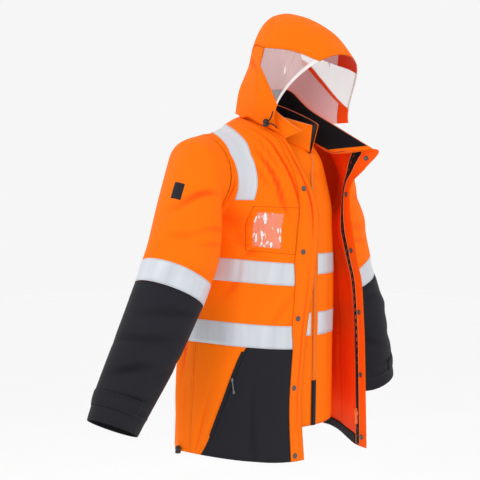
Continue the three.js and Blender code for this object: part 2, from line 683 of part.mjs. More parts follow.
// Hood: ribs over the head, from the face opening to the back of the neck
function hoodPatch() {
  const ribs = HOOD.map((row) => named(RIB, row));
  const points = places(ribs).map((placeAt, j) => {
    const at = (name) => along(ribs, name, placeAt);
    const arch = (side, f, windowRows) => {
      const seam = at(`${f}seam`);
      const foot = j < windowRows ? at(`${f}foot`) : seam;
      const shares = [
        ...stretch(0, foot, HOOD_FOOT_STEPS),
        ...stretch(foot, seam, HOOD_WINDOW_STEPS),
        ...stretch(seam, 1, HOOD_CROWN_STEPS),
        1,
      ];
      const [x, y, z] = [at(`${f}x`), at(`${f}y`), at(`${f}z`)];
      return shares.map((u) => cubic(
        new THREE.Vector3(side * x, y, z),
        new THREE.Vector3(side * (x + at(`${f}o`)), y + at(`${f}b`), z + at("up")),
        new THREE.Vector3(side * at("wide"), at("y"), at("z")),
        new THREE.Vector3(0, at("y"), at("z")),
        u,
      ));
    };
    const rightArch = arch(-1, "r", RIGHT_WINDOW_ROWS);
    const leftArch = arch(1, "l", LEFT_WINDOW_ROWS).slice(0, -1);
    return [...rightArch, ...leftArch.reverse()];
  });
  return patch(points, false);
}
const hood = hoodPatch();
const footCols = HOOD_FOOT_STEPS;
const seamCol = HOOD_FOOT_STEPS + HOOD_WINDOW_STEPS;
const lastCol = hood.cols - 1;
wall("hood_crown", ORANGE, cells(hood, seamCol, lastCol - seamCol), -halfCloth, halfCloth, HOOD_GAP);
wall("hood_right_side", ORANGE, cells(hood, 0, footCols), -halfCloth, halfCloth, HOOD_GAP);
wall("hood_left_side", ORANGE, cells(hood, lastCol - footCols, lastCol), -halfCloth, halfCloth, HOOD_GAP);
const rightWindow = cells(hood, footCols, seamCol, 0, RIGHT_WINDOW_ROWS);
wall("hood_right_window", CLEAR, rightWindow, -FILM / 2, FILM / 2);
const leftWindow = cells(hood, lastCol - seamCol, lastCol - footCols, 0, LEFT_WINDOW_ROWS);
wall("hood_left_window", CLEAR, leftWindow, -FILM / 2, FILM / 2);

// Collars: two layers each, the second on the inside
function collarPatch(table) {
  const rows = table.map((row) => named(COLLAR_ROW, row));
  const list = places(rows);
  const points = [];
  for (let j = 0; j <= COLLAR_HEIGHT_STEPS; j += 1) {
    const t = j / COLLAR_HEIGHT_STEPS;
    points.push(list.map((placeAt) => {
      const at = (name) => along(rows, name, placeAt);
      const foot = new THREE.Vector3(at("bx"), at("by"), at("bz"));
      return foot.lerp(new THREE.Vector3(at("tx"), at("ty"), at("tz")), t);
    }));
  }
  return patch(points, true);
}
const collar = collarPatch(COLLAR);
wall("collar", ORANGE, cells(collar), SEAM / 2, SEAM / 2 + COLLAR_LAYER);
wall("collar_lining", FLEECE, cells(collar), -LINING_DROP - COLLAR_LAYER, -LINING_DROP, LINING_INSET);
const vestCollar = collarPatch(VEST_COLLAR);
wall("vest_collar", ORANGE, cells(vestCollar), SEAM / 2, SEAM / 2 + COLLAR_LAYER);
wall("vest_collar_lining", FLEECE, cells(vestCollar), -SEAM / 2 - COLLAR_LAYER, -SEAM / 2);

// Vest
const vestHeights = [0, 1, VEST_UNDERARM, VEST_UNDERARM + 1, VEST_SHOULDER];
const vestRight = half(VEST_FRONT, VEST_LINES, -1, false, null, vestHeights);
const vestLeft = half(VEST_FRONT, VEST_LINES, 1, true, null, vestHeights);
const vestBackRight = half(VEST_BACK, VEST_LINES, -1, true, null, vestHeights);
const vestBackLeft = half(VEST_BACK, VEST_LINES, 1, false, null, vestHeights);
shareNormals([vestRight, vestLeft, vestBackRight, vestBackLeft]);
squareShoulders([[vestRight, -1], [vestBackRight, -1], [vestLeft, 1], [vestBackLeft, 1]]);
wall("vest_right_front", ORANGE, cells(vestRight), -halfCloth, halfCloth);
wall("vest_left_front", ORANGE, cells(vestLeft), -halfCloth, halfCloth);
wall("vest_back", ORANGE, [...cells(vestBackRight), ...cells(vestBackLeft)], -halfCloth, halfCloth);
const vestRows = VEST_FRONT.map((row) => named(ROW, row));
VEST_BANDS.forEach(([low, top], k) => {
  const word = ["lower", "upper"][k];
  for (const [side, one] of [["right", vestRight], ["left", vestLeft]]) {
    const band = cells(one, 0, one.cols - 1, rowIndex(vestRows, low), rowIndex(vestRows, top));
    wall(`vest_${side}_${word}_band`, SILVER, band, over, over + LAYER);
  }
});

// Zip of the vest: a strip between the two front edges
const zipRows = rowIndex(vestRows, VEST_ZIP_TOP) + 1;
const zipPoints = [];
for (let j = 0; j < zipRows; j += 1) {
  zipPoints.push([vestRight.points[j][vestRight.cols - 1], vestLeft.points[j][vestLeft.cols - 1]]);
}
const vestZip = patch(zipPoints, false);
wall("vest_zip", BLACK, cells(vestZip), -halfCloth, halfCloth);

// Point and normal of a patch on one of its columns at a height. sign -1 turns the normal to the inside.
function atHeight(one, col, z, sign = 1) {
  let j = 0;
  while (j < one.rows - 2 && one.points[j + 1][col].z < z) j += 1;
  const [low, top] = [one.points[j][col], one.points[j + 1][col]];
  const t = (z - low.z) / (top.z - low.z);
  const normal = one.normals[j][col].clone().lerp(one.normals[j + 1][col], t).normalize();
  return { point: low.clone().lerp(top, t), normal: normal.multiplyScalar(sign) };
}

// Press studs on the storm flap and sockets inside the left flap
const studCol = flapAt + 1;
STUD_Z.forEach((z, k) => {
  button(`stud_${k + 1}`, METAL, atHeight(right, studCol, z), over + CLOTH + STUD_LIFT);
});
const socketCol = leftZip + 2;
SOCKET_Z.forEach((z, k) => {
  button(`socket_${k + 1}`, METAL, atHeight(left, socketCol, z, -1), halfCloth + STUD_LIFT);
});
button("corner_socket", METAL, atHeight(left, socketCol, CORNER_Z, -1), CORNER_LIFT);

// Flat piece lying on a point of a patch, its length running down the patch
function tag(name, finish, { point, normal }, lift, [wide, long, thick], drop = 0) {
  const down = new THREE.Vector3(0, 0, -1).addScaledVector(normal, normal.z).normalize();
  const across = new THREE.Vector3().crossVectors(down, normal).normalize();
  const mesh = place(name, finish, new THREE.BoxGeometry(wide, long, thick));
  mesh.quaternion.setFromRotationMatrix(new THREE.Matrix4().makeBasis(across, down, normal));
  mesh.position.copy(point).addScaledVector(normal, lift + thick / 2).addScaledVector(down, drop + long / 2);
}

const sliderAt = atHeight(left, leftZip, SLIDER_Z, -1);
const sliderLift = over + LAYER + STUD_LIFT;
tag("left_slider", SLIDER, sliderAt, sliderLift, SLIDER_SIZE);
tag("left_puller", SLIDER, sliderAt, sliderLift, PULLER_SIZE, SLIDER_SIZE[1] + SEAM);
tag("pocket_puller", BLACK, atHeight(right, slant, POCKET_PULL_Z), over, PULLER_SIZE);
const sleeveCells = cells(sleeveRight, LABEL_COL, LABEL_COL + 1, LABEL_ROW, LABEL_ROW + 1);
wall("sleeve_label", BLACK, sleeveCells, over + WINDOW_LIFT, over + WINDOW_LIFT + LAYER, LABEL_INSET);

// Cord locks: a barrel lying on the cloth, and the two cord ends of the hood's one
function lock(name, { point, normal }, lift) {
  const barrel = new THREE.CylinderGeometry(LOCK_RADIUS, LOCK_RADIUS, LOCK_LENGTH, ROUND_SIDES);
  const mesh = place(name, BLACK, barrel);
  mesh.rotation.x = Math.PI / 2;
  mesh.position.copy(point).addScaledVector(normal, halfCloth + lift + LOCK_RADIUS);
  return mesh.position;
}
const [lockLow, lockTop] = hood.points[LOCK_ROW];
const lockSpot = { point: lockLow.clone().lerp(lockTop, LOCK_SHARE), normal: hood.normals[LOCK_ROW][0] };
const lockAt = lock("hood_cord_lock", lockSpot, LOCK_LIFT);
lock("hem_cord_lock", atHeight(backRight, 1, HEM_LOCK_Z), HEM_LOCK_LIFT);

// Cord end from the lock's front, through points given beside its exit
function cord(name, exit, route) {
  const curve = new THREE.CatmullRomCurve3(route.map(([x, y, z]) => new THREE.Vector3(x, y, z).add(exit)));
  const section = new THREE.Shape();
  section.absarc(0, 0, CORD_RADIUS, 0, 2 * Math.PI);
  const geometry = new THREE.ExtrudeGeometry(section, {
    steps: CORD_STEPS, curveSegments: CORD_SIDES, bevelEnabled: false, extrudePath: curve,
  });
  place(name, BLACK, geometry);
}
const exit = lockAt.clone().add(new THREE.Vector3(0, -LOCK_RADIUS - SEAM, 0));
cord("hood_cord_upper", exit, UPPER_CORD);
cord("hood_cord_lower", exit, LOWER_CORD);

const jacket = new THREE.Group();
jacket.add(...PIECES);
export default jacket;
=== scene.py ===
"""Hi-vis work jacket worn open over its zip-in vest: cloth, tape, film, zips and fasteners on the frame.

Tables are in millimetres, like the solids. Meshes are in metres. The garment faces -Y, its right side is -X.
"""
import math

import bmesh
import bpy
import numpy as np
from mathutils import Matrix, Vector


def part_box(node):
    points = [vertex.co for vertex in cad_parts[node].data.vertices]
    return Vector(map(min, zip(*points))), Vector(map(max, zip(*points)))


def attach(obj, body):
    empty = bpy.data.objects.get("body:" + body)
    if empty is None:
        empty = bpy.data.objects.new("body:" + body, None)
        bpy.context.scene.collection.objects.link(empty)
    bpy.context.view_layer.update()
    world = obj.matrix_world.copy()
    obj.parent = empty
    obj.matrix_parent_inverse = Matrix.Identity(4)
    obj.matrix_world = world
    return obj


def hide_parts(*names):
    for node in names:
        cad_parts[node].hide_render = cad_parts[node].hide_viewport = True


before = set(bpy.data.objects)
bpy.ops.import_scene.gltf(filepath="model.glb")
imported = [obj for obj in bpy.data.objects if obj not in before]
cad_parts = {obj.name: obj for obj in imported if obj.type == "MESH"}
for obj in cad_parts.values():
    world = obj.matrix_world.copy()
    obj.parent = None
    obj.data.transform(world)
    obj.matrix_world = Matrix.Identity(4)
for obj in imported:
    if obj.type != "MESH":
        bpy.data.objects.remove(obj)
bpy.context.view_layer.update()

bl_info = {
    "name": "Hi-vis work jacket",
    "version": (1, 0, 0),
    "blender": (4, 5, 0),
    "location": "3D view > Sidebar > Jacket",
    "description": "Dresses the frame of a hooded hi-vis work jacket",
    "category": "Object",
}

MM = 0.001

# Rows of a half garment from the hem up: steps, outer end x y z, inner end x y z, handles forward and
# sideways at the outer end, sideways and forward at the inner end
RIGHT_FRONT = np.array([
    (3, 240, 12, -778, 45, -160, -800, 95, 0, 105, 4),
    (3, 234, 12, -670, 50, -156, -672, 92, 0, 105, 6),
    (1, 224, 10, -526, 43, -161, -543, 92, 0, 100, 6),
    (2, 221, 10, -474, 36, -163, -491, 92, 0, 100, 4),
    (1, 207, 8, -383, 21, -168, -400, 90, 0, 100, 4),
    (2, 200, 6, -332, 12, -168, -349, 88, 0, 100, 2),
    (1, 196, 5, -288, 6, -168, -312, 86, 2, 98, 1),
    (1, 194, 2, -245, 2, -167, -275, 80, 5, 95, 0),
    (1, 203, -48, -214, 0, -164, -220, 45, 25, 85, 0),
    (1, 197, -72, -170, 23, -160, -165, 30, 35, 62, 4),
    (1, 195, -70, -122, 48, -149, -116, 24, 40, 45, 2),
    (1, 199, -50, -85, 68, -123, -62, 16, 45, 40, 0),
    (1, 204, -24, -62, 80, -62, -28, 6, 45, 35, 2),
    (0, 208, 0, -50, 78, 0, -6, 0, 42, 36, 0),
], dtype=float)
LEFT_FRONT = np.array([
    (3, 244, 12, -778, 152, -194, -800, 70, 0, 4, -62),
    (3, 238, 12, -670, 150, -193, -672, 70, 0, 4, -62),
    (1, 228, 10, -526, 149, -191, -543, 75, 0, 4, -64),
    (2, 225, 10, -474, 148, -189, -491, 75, 0, 4, -64),
    (1, 210, 8, -383, 145, -185, -400, 75, 0, 0, -66),
    (2, 202, 6, -332, 138, -177, -349, 75, 0, 0, -66),
    (1, 197, 5, -288, 133, -174, -312, 75, 0, 0, -66),
    (1, 194, 2, -245, 128, -171, -275, 75, 0, 0, -66),
    (1, 203, -48, -214, 118, -170, -220, 50, 5, 0, -52),
    (1, 197, -72, -170, 114, -177, -163, 36, 20, 8, -46),
    (1, 195, -70, -122, 130, -209, -122, 30, 40, -14, -62),
    (1, 199, -50, -85, 139, -236, -80, 25, 60, -30, -72),
    (1, 204, -22, -62, 80, -145, -83, 20, 55, 20, -40),
    (0, 208, 0, -50, 78, 0, -6, 0, 42, 36, 0),
], dtype=float)
BACK = np.array([
    (3, 240, 12, -778, 0, 190, -800, -98, 0, 128, 0),
    (3, 234, 12, -670, 0, 188, -670, -98, 0, 126, 0),
    (1, 224, 10, -526, 0, 184, -530, -96, 0, 122, 0),
    (2, 221, 10, -474, 0, 182, -478, -95, 0, 120, 0),
    (1, 207, 8, -383, 0, 176, -387, -92, 0, 116, 0),
    (2, 200, 6, -332, 0, 171, -336, -90, 0, 112, 0),
    (1, 196, 5, -288, 0, 167, -294, -88, 2, 108, 0),
    (1, 194, 2, -245, 0, 162, -250, -85, 5, 105, 0),
    (1, 204, 50, -214, 0, 156, -205, -50, 20, 100, 0),
    (1, 199, 74, -170, 0, 147, -155, -30, 35, 92, 0),
    (1, 198, 72, -122, 0, 112, -72, -24, 40, 85, 0),
    (1, 201, 52, -85, 0, 47, 2, -16, 45, 70, 0),
    (1, 205, 26, -62, 45, 35, 2, -4, 45, 40, 0),
    (0, 208, 0, -50, 78, 0, -6, 0, 42, 36, 0),
], dtype=float)
VEST_FRONT = np.array([
    (3, 186, 6, -728, 4, -150, -728, 80, 0, 92, 0),
    (1, 187, 6, -517, 4, -154, -517, 82, 0, 92, 0),
    (2, 187, 5, -463, 4, -155, -463, 82, 0, 92, 0),
    (1, 186, 4, -375, 4, -155, -375, 82, 0, 92, 0),
    (1, 184, 3, -326, 4, -155, -326, 82, 0, 92, 0),
    (1, 181, 1, -262, 4, -154, -262, 78, 0, 90, 0),
    (1, 166, -52, -222, 4, -151, -215, 45, 15, 80, 0),
    (1, 156, -60, -160, 4, -147, -150, 30, 25, 65, 0),
    (1, 158, -46, -110, 4, -143, -92, 22, 30, 48, 0),
    (1, 166, -20, -78, 63, -66, -45, 8, 30, 26, 0),
    (0, 174, 0, -45, 70, 0, -20, 0, 34, 30, 0),
], dtype=float)
VEST_BACK = np.array([
    (3, 186, 6, -728, 0, 150, -728, -80, 0, 100, 0),
    (1, 187, 6, -517, 0, 152, -517, -80, 0, 100, 0),
    (2, 187, 5, -463, 0, 152, -463, -80, 0, 100, 0),
    (1, 186, 4, -375, 0, 151, -375, -80, 0, 100, 0),
    (1, 184, 3, -326, 0, 149, -326, -80, 0, 100, 0),
    (1, 181, 1, -262, 0, 146, -262, -78, 0, 98, 0),
    (1, 168, 54, -222, 0, 141, -205, -40, 18, 90, 0),
    (1, 160, 62, -160, 0, 116, -104, -28, 26, 80, 0),
    (1, 162, 48, -110, 0, 40, -13, -20, 32, 70, 0),
    (1, 168, 24, -78, 41, 30, -16, -8, 34, 36, 0),
    (0, 174, 0, -45, 70, 0, -20, 0, 34, 30, 0),
], dtype=float)

# Grid lines across a half, as shares of the way in from the outer end, at the heights of LINE_ROWS
LINE_ROWS = np.array([0, 2, 5, 10.5, 13])
RIGHT_LINES = np.array([
    (2, 0, 0, 0, 0, 0),
    (1, 0.1, 0.46, 0.26, 0.06, 0.2),
    (2, 0.36, 0.58, 0.36, 0.34, 0.56),
    (1, 0.64, 0.72, 0.67, 0.66, 0.78),
    (1, 0.86, 0.86, 0.78, 0.8, 0.9),
    (1, 0.94, 0.94, 0.91, 0.92, 0.96),
    (0, 1, 1, 1, 1, 1),
])
LEFT_LINES = np.array([
    (2, 0, 0, 0, 0, 0),
    (1, 0.2, 0.3, 0.2, 0.12, 0.2),
    (2, 0.4, 0.45, 0.42, 0.36, 0.56),
    (1, 0.8, 0.82, 0.82, 0.66, 0.84),
    (1, 0.84, 0.86, 0.86, 0.7, 0.88),
    (1, 0.92, 0.92, 0.93, 0.9, 0.94),
    (0, 1, 1, 1, 1, 1),
])
BACK_LINES = np.array([
    (2, 0, 0, 0, 0, 0),
    (1, 0.24, 0.3, 0.3, 0.2, 0.2),
    (3, 0.44, 0.5, 0.5, 0.42, 0.56),
    (0, 1, 1, 1, 1, 1),
])
VEST_LINES = np.array([(6, 0, 0, 0, 0, 0), (0, 1, 1, 1, 1, 1)])

# Rows of the two tape bands, of the underarm and of the shoulder seam, and the outward lean of what lies on
# the shoulder seam
LOWER_BAND = (2, 3)
UPPER_BAND = (4, 5)
UNDERARM = 7
SHOULDER = 13
SHOULDER_LEAN = 0.3

# Sleeve rings: steps, middle x, y of the right one, y of the left one, z, tilt, radii outwards and forwards
SLEEVE = np.array([
    (2, 244, -4, 2, -162, 72, 92, 82),
    (2, 267, -17, 10, -226, 54, 88, 82),
    (1, 298, -27, 13, -314, 30, 84, 79),
    (1, 319, -25, 12, -366, 27, 82, 77),
    (3, 338, -21, 10, -411, 26, 81, 75),
    (3, 392, -7, 7, -530, 25, 75, 70),
    (1, 440, 9, 12, -630, 25, 67, 61),
    (1, 454, 12, 14, -660, 25, 63, 56),
    (0, 468, 15, 15, -690, 25, 60, 52),
], dtype=float)

# Grid lines round a sleeve; rows of its tape band, of its cuff tab and of its end
ROUND = 12
SLEEVE_BAND = (3, 4)
SLEEVE_TAB = (6, 7)
SLEEVE_END = 8

# Hood ribs from the face opening back: steps, right foot x y z, its handles outwards and backwards, the same
# for the left, the handle up, the top's y and z, its handle to each side, shares of the window's two edges
HOOD = np.array([
    (2, 75, -122, -50, 36, 62, 112, -170, -14, 8, 22, 54, -246, 130, 108, 0.32, 0.76, 0.19, 0.62),
    (2, 86, -90, -33, 26, 20, 104, -126, -14, 10, 10, 90, -194, 190, 106, 0.31, 0.61, 0.245, 0.5),
    (2, 88, -54, -19, 26, 0, 96, -82, -8, 14, 0, 118, -114, 234, 104, 0.38, 0.5, 0.32, 0.46),
    (2, 84, -24, -5, 6, 0, 90, -38, 0, 14, 0, 122, -48, 238, 90, 0.5, 0.5, 0.44, 0.54),
    (2, 79, 2, -4.5, 0, -8, 84, 4, -5.6, 5, -8, 96, -10, 158, 76, 0.5, 0.5, 0.5, 0.5),
    (2, 70, 24, 5, 2, -4, 74, 27, 5, 2, -4, 62, 31, 82, 70, 0.5, 0.55, 0.5, 0.55),
    (0, 57, 42, 8, 3, 5, 57, 42, 8, 3, 5, 5, 56, 16, 42, 0.5, 0.6, 0.5, 0.6),
], dtype=float)

# Last rib of the window on each side, and of the hood
WINDOW_END = {-1: 2, 1: 3}
HOOD_END = 6

# Collars from the right front end round the back to the left: steps, foot x y z, top edge x y z
COLLAR = np.array([
    (2, -66, -121, -57, -38, -150, -42),
    (2, -74, -92, -36, -70, -112, -4),
    (2, -77, -50, -18, -75, -64, 38),
    (2, -74, -6, -2, -70, -14, 58),
    (2, -42, 32, 6, -40, 20, 68),
    (2, 0, 46.2, 2.6, 0, 30, 72),
    (2, 42, 32, 6, 44, 20, 76),
    (2, 75, -6, -2, 76, -16, 72),
    (2, 79, -66, -45, 86, -86, 14),
    (0, 79, -138, -78, 134, -232, -76),
], dtype=float)
VEST_COLLAR = np.array([
    (2, -3, -143, -89, -4, -153, -26),
    (2, -58, -74, -46, -58, -98, -4),
    (2, -66, -8, -18, -62, -16, 28),
    (2, -38, 27, -12, -36, 18, 42),
    (2, 0, 36.6, -10.2, 0, 26, 46),
    (2, 38, 27, -12, 36, 16, 42),
    (2, 66, -8, -18, 62, -20, 26),
    (2, 57, -78, -50, 58, -98, -6),
    (0, 3, -143, -89, 24, -148, -22),
], dtype=float)

# Places round the neck, and how far the collar's foot sinks there to meet the fronts
COLLAR_SINK = ((0, 0.5, 1, 2, 6.6, 7, 7.4, 7.8, 8.2, 8.5, 9), (3, 3.4, 1, 0, 0, 4, 3.6, 2, 2.6, 4.2, 4.2))

# Soft folds: middle across and up as shares, half length and half width, lean from upright, height
RIGHT_FOLDS = [
    (0.2, 0.3, 120, 22, 12, 5), (0.36, 0.62, 110, 24, -28, -5), (0.7, 0.16, 120, 30, 4, 4),
    (0.5, 0.1, 90, 16, -14, -2.5), (0.12, 0.12, 110, 12, 6, -3), (0.62, 0.36, 70, 12, 40, 1.8),
    (0.3, 0.5, 70, 10, 34, -2), (0.9, 0.3, 200, 7, 0, -1.5), (0.45, 0.8, 60, 12, -44, -2),
    (0.78, 0.84, 60, 8, -10, 3.5), (0.7, 0.82, 70, 8, -16, -5), (0.62, 0.86, 60, 9, -22, 3),
    (0.88, 0.8, 80, 7, -6, -4.5), (0.08, 0.76, 46, 8, 30, -3), (0.2, 0.84, 50, 8, 42, 2),
    (0.54, 0.8, 60, 8, -26, -3.5),
]
LEFT_FOLDS = [
    (0.3, 0.25, 140, 24, 5, -6), (0.5, 0.5, 130, 24, -6, 6), (0.72, 0.3, 160, 12, 4, -2.5),
    (0.15, 0.4, 100, 14, -20, -3), (0.62, 0.15, 90, 14, 16, 2.5),
]
BACK_FOLDS = [
    (0.25, 0.2, 140, 30, 6, 7), (0.5, 0.35, 150, 30, -4, -7), (0.3, 0.62, 100, 26, 24, -6),
    (0.8, 0.18, 130, 30, 0, 6), (0.65, 0.5, 120, 14, 16, 3), (0.4, 0.1, 100, 14, -10, -3.5),
    (0.12, 0.35, 110, 12, -12, -3), (0.55, 0.72, 90, 13, 38, -2.5),
]
SLEEVE_FOLDS = [
    (0.42, 0.3, 60, 20, 62, 5), (0.3, 0.42, 70, 20, 60, -5), (0.35, 0.6, 60, 18, 70, 4),
    (0.8, 0.5, 60, 20, -60, -5), (0.4, 0.76, 50, 18, 66, -4), (0.22, 0.5, 50, 9, 72, 2),
    (0.5, 0.66, 60, 10, 80, -1.6), (0.15, 0.7, 46, 9, 54, -2.4), (0.7, 0.36, 60, 11, -50, 2.4),
    (0.06, 0.34, 50, 9, -20, -3), (0.94, 0.36, 50, 9, 24, 3), (0.34, 0.2, 50, 9, 48, -2.6),
    (0.24, 0.28, 44, 8, 58, 2.4), (0.3, 0.86, 50, 8, 84, -2), (0.2, 0.92, 50, 7, 88, 1.8),
]
VEST_FOLDS = [
    (0.75, 0.3, 200, 14, 0, -1.6), (0.45, 0.35, 180, 18, 5, 2.2), (0.25, 0.5, 120, 18, -10, -2.6),
]
HOOD_FOLDS = [
    (0.12, 0.45, 60, 10, 10, -3), (0.3, 0.62, 60, 12, -14, 2.5), (0.2, 0.72, 70, 9, 12, -2.2),
    (0.42, 0.4, 40, 12, 60, -1.6), (0.62, 0.55, 60, 14, -30, 2), (0.85, 0.66, 60, 11, 12, -2.4),
]

# Factor on the folds' heights
FOLD_GAIN = 1.3

# Width and height in mm over which the folds' shares count: half a body, a sleeve, the hood
BODY_SPAN = (320, 800)
SLEEVE_SPAN = (520, 640)
HOOD_SPAN = (620, 420)

# Curvature, 1 / mm, at which a crease has its full painted shade
FULL_CREASE = 0.038

# Pinch along a seam: its width in mm, its puckers' share and length in mm; the distance that means no seam
SEAM_WIDTH = 3.5
PUCKER = 0.35
PUCKER_LENGTH = 2.9
NO_SEAM = 900.0

# Points nearer than this in mm are joined
SAME_PLACE = 0.02

# Least side of a flat size in metres, and the factor that keeps it above the piece's area
LEAST_FLAT = 0.0105
FLAT_ROOM = 1.002

# Heights of the middles of the studs, the sockets, the slider and the pocket's pull, and the length of the
# dark lower part of the vest's zip
STUD_Z = [-786, -631, -473, -321, -175]
SOCKET_Z = [-776, -624, -472, -322, -186]
CORNER_Z = -100
SLIDER_Z = -706
POCKET_PULL_Z = -606
VEST_ZIP_DARK = 108

# Grid lines of the studs on the right half, and of the sockets and the zip's two edges and middle on the left
STUD_LINE = 4.5
SOCKET_LINE = 5
LEFT_ZIP_LINE = 3
LEFT_ZIP_EDGE = 4.5
LEFT_ZIP_MIDDLE = 3.75

# Stitches in metres: inset from the seam, half width of the line, pitch; and the seam's own dark line
CLOTH_STITCH = (0.0065, 0.0006, 0.0034)
TAPE_STITCH = (0.0022, 0.0005, 0.003)
SEAM_LINE = 0.0009

# Zip teeth in mm: pitch, half width, half length, half height, shift to each side
TOOTH_PITCH = 2.6
TOOTH_HALF = (2.2, TOOTH_PITCH * 0.36, 0.8)
TOOTH_SHIFT = 0.55

# Cord ends as points beside the exit in the lock's front, and the exit beside the lock's middle
UPPER_CORD = [(0, -0.4, 4), (-2, -6, 6), (-4, -12, 10), (-5, -17, 17), (-5, -20, 26)]
LOWER_CORD = [(0, -0.4, -2), (-1, -8, -2), (-1, -16, -4), (0, -23, -8), (1, -28, -14)]
LOCK_EXIT = (0, -6.8, 0)

# The photo's camera: heading in degrees, height and distance in metres, lens and sensor in mm, framing
CAMERA_HEADING = 48.0
CAMERA_HEIGHT = -0.236
CAMERA_DISTANCE = 2.65
CAMERA_LENS = 81.6
CAMERA_SENSOR = 36
CAMERA_SHIFT = -0.052


def along(table, column, place):
    """Catmull-Rom curve: a cubic through the column's values, each slope half the step between neighbours."""
    values = table[:, column]
    last = len(values) - 1
    k = np.clip(np.floor(place).astype(int), 0, last - 1)
    t = place - k
    a, b, c, d = (values[np.clip(k + n, 0, last)] for n in (-1, 0, 1, 2))
    bend = (2 * a - 5 * b + 4 * c - d) * t * t + (3 * b - a - 3 * c + d) * t ** 3
    return 0.5 * (2 * b + (c - a) * t + bend)


def point(x, y, z):
    """Coordinates as one array of points."""
    return np.stack(np.broadcast_arrays(x, y, z), axis=-1).astype(float)


def cubic(a, b, c, d, t):
    """Cubic curve from a to d with handle ends b and c: the points weighted by the binomial terms of t."""
    t = t[..., None]
    s = 1 - t
    return a * s ** 3 + 3 * b * s * s * t + 3 * c * s * t * t + d * t ** 3


def smooth(x):
    """Smooth step from 0 to 1: three x squared less two x cubed."""
    x = np.clip(x, 0, 1)
    return x * x * (3 - 2 * x)


def fold_push(folds, u, v, across, up):
    """Sum of folds, each a hill whose height falls off as a bell along and across its own leaning axes."""
    total = np.zeros(np.broadcast(u, v).shape)
    for mid_u, mid_v, length, width, lean, height in folds:
        angle = math.radians(lean)
        x = (u - mid_u) * across
        y = (v - mid_v) * up
        run = y * math.cos(angle) + x * math.sin(angle)
        side = x * math.cos(angle) - y * math.sin(angle)
        total = total + FOLD_GAIN * height * np.exp(-(run / length) ** 2 - (side / width) ** 2)
    return total


def numbered(steps, place):
    """Grid index at a place along the rows, counted in the rows' own steps."""
    starts = np.concatenate([[0], np.cumsum(steps[:-1])])
    return np.interp(place, np.arange(len(steps)), starts)


def facing(shape, line, row, limits, sign):
    """Unit normals: the cross product of the shape's slopes along line and row, by central differences."""
    step = 0.004
    (l0, l1), (r0, r1) = limits
    d_line = shape(np.clip(line + step, l0, l1), row) - shape(np.clip(line - step, l0, l1), row)
    d_row = shape(line, np.clip(row + step, r0, r1)) - shape(line, np.clip(row - step, r0, r1))
    normal = np.cross(d_line, d_row) * sign
    length = np.linalg.norm(normal, axis=-1, keepdims=True)
    return normal / np.maximum(length, 1e-9)


def lifted(shape, limits, sign, push, lean=None):
    """A shape's surface as a function of line, row and lift: its points go out along the normal by push and
    lift. Lean turns the normal."""
    def surface(line, row, lift=0.0):
        line, row = np.broadcast_arrays(np.asarray(line, float), np.asarray(row, float))
        normal = facing(shape, line, row, limits, sign)
        if lean:
            normal = lean(normal, row)
        return shape(line, row) + normal * (push(line, row) + lift)[..., None]

    surface.limits = limits
    surface.sign = sign
    return surface


def half_surface(table, lines, heights, side, sign, folds):
    """Half a garment as a function of grid line, row and lift. Each row is a cubic curve from its outer end
    to its inner end, rows are joined by Catmull-Rom curves, and folds and lift go out along the normal."""
    steps = table[:, 0]
    last_line = len(lines) - 1
    last_row = len(table) - 1

    def share(line, row):
        marks = np.stack([np.interp(row, heights, lines[k, 1:]) for k in range(len(lines))])
        k = np.clip(np.floor(line).astype(int), 0, last_line - 1)
        low = np.take_along_axis(marks, k[None], axis=0)[0]
        high = np.take_along_axis(marks, k[None] + 1, axis=0)[0]
        return low + (high - low) * (line - k)

    def shape(line, row):
        at = [along(table, k, row) for k in range(11)]
        outer = point(side * at[1], at[2], at[3])
        inner = point(side * at[4], at[5], at[6])
        b = outer + point(-side * at[8], -at[7], 0)
        c = inner + point(side * at[9], -at[10], 0)
        return cubic(outer, b, c, inner, share(line, row))

    def lean(normal, row):
        top = smooth(row - (last_row - 1))[..., None]
        up = np.array([side * SHOULDER_LEAN, 0, 1]) / math.hypot(1, SHOULDER_LEAN)
        normal = normal * (1 - top) + up * top
        return normal / np.linalg.norm(normal, axis=-1, keepdims=True)

    def push(line, row):
        index = numbered(lines[:, 0], line)
        total = lines[:-1, 0].sum()
        height = numbered(steps, row)
        rows = steps[:-1].sum()
        held = smooth(index) * smooth(total - index) * smooth(rows - height)
        return fold_push(folds, index / total, height / rows, *BODY_SPAN) * held

    return lifted(shape, ((0, last_line), (0, last_row)), sign, push, lean)


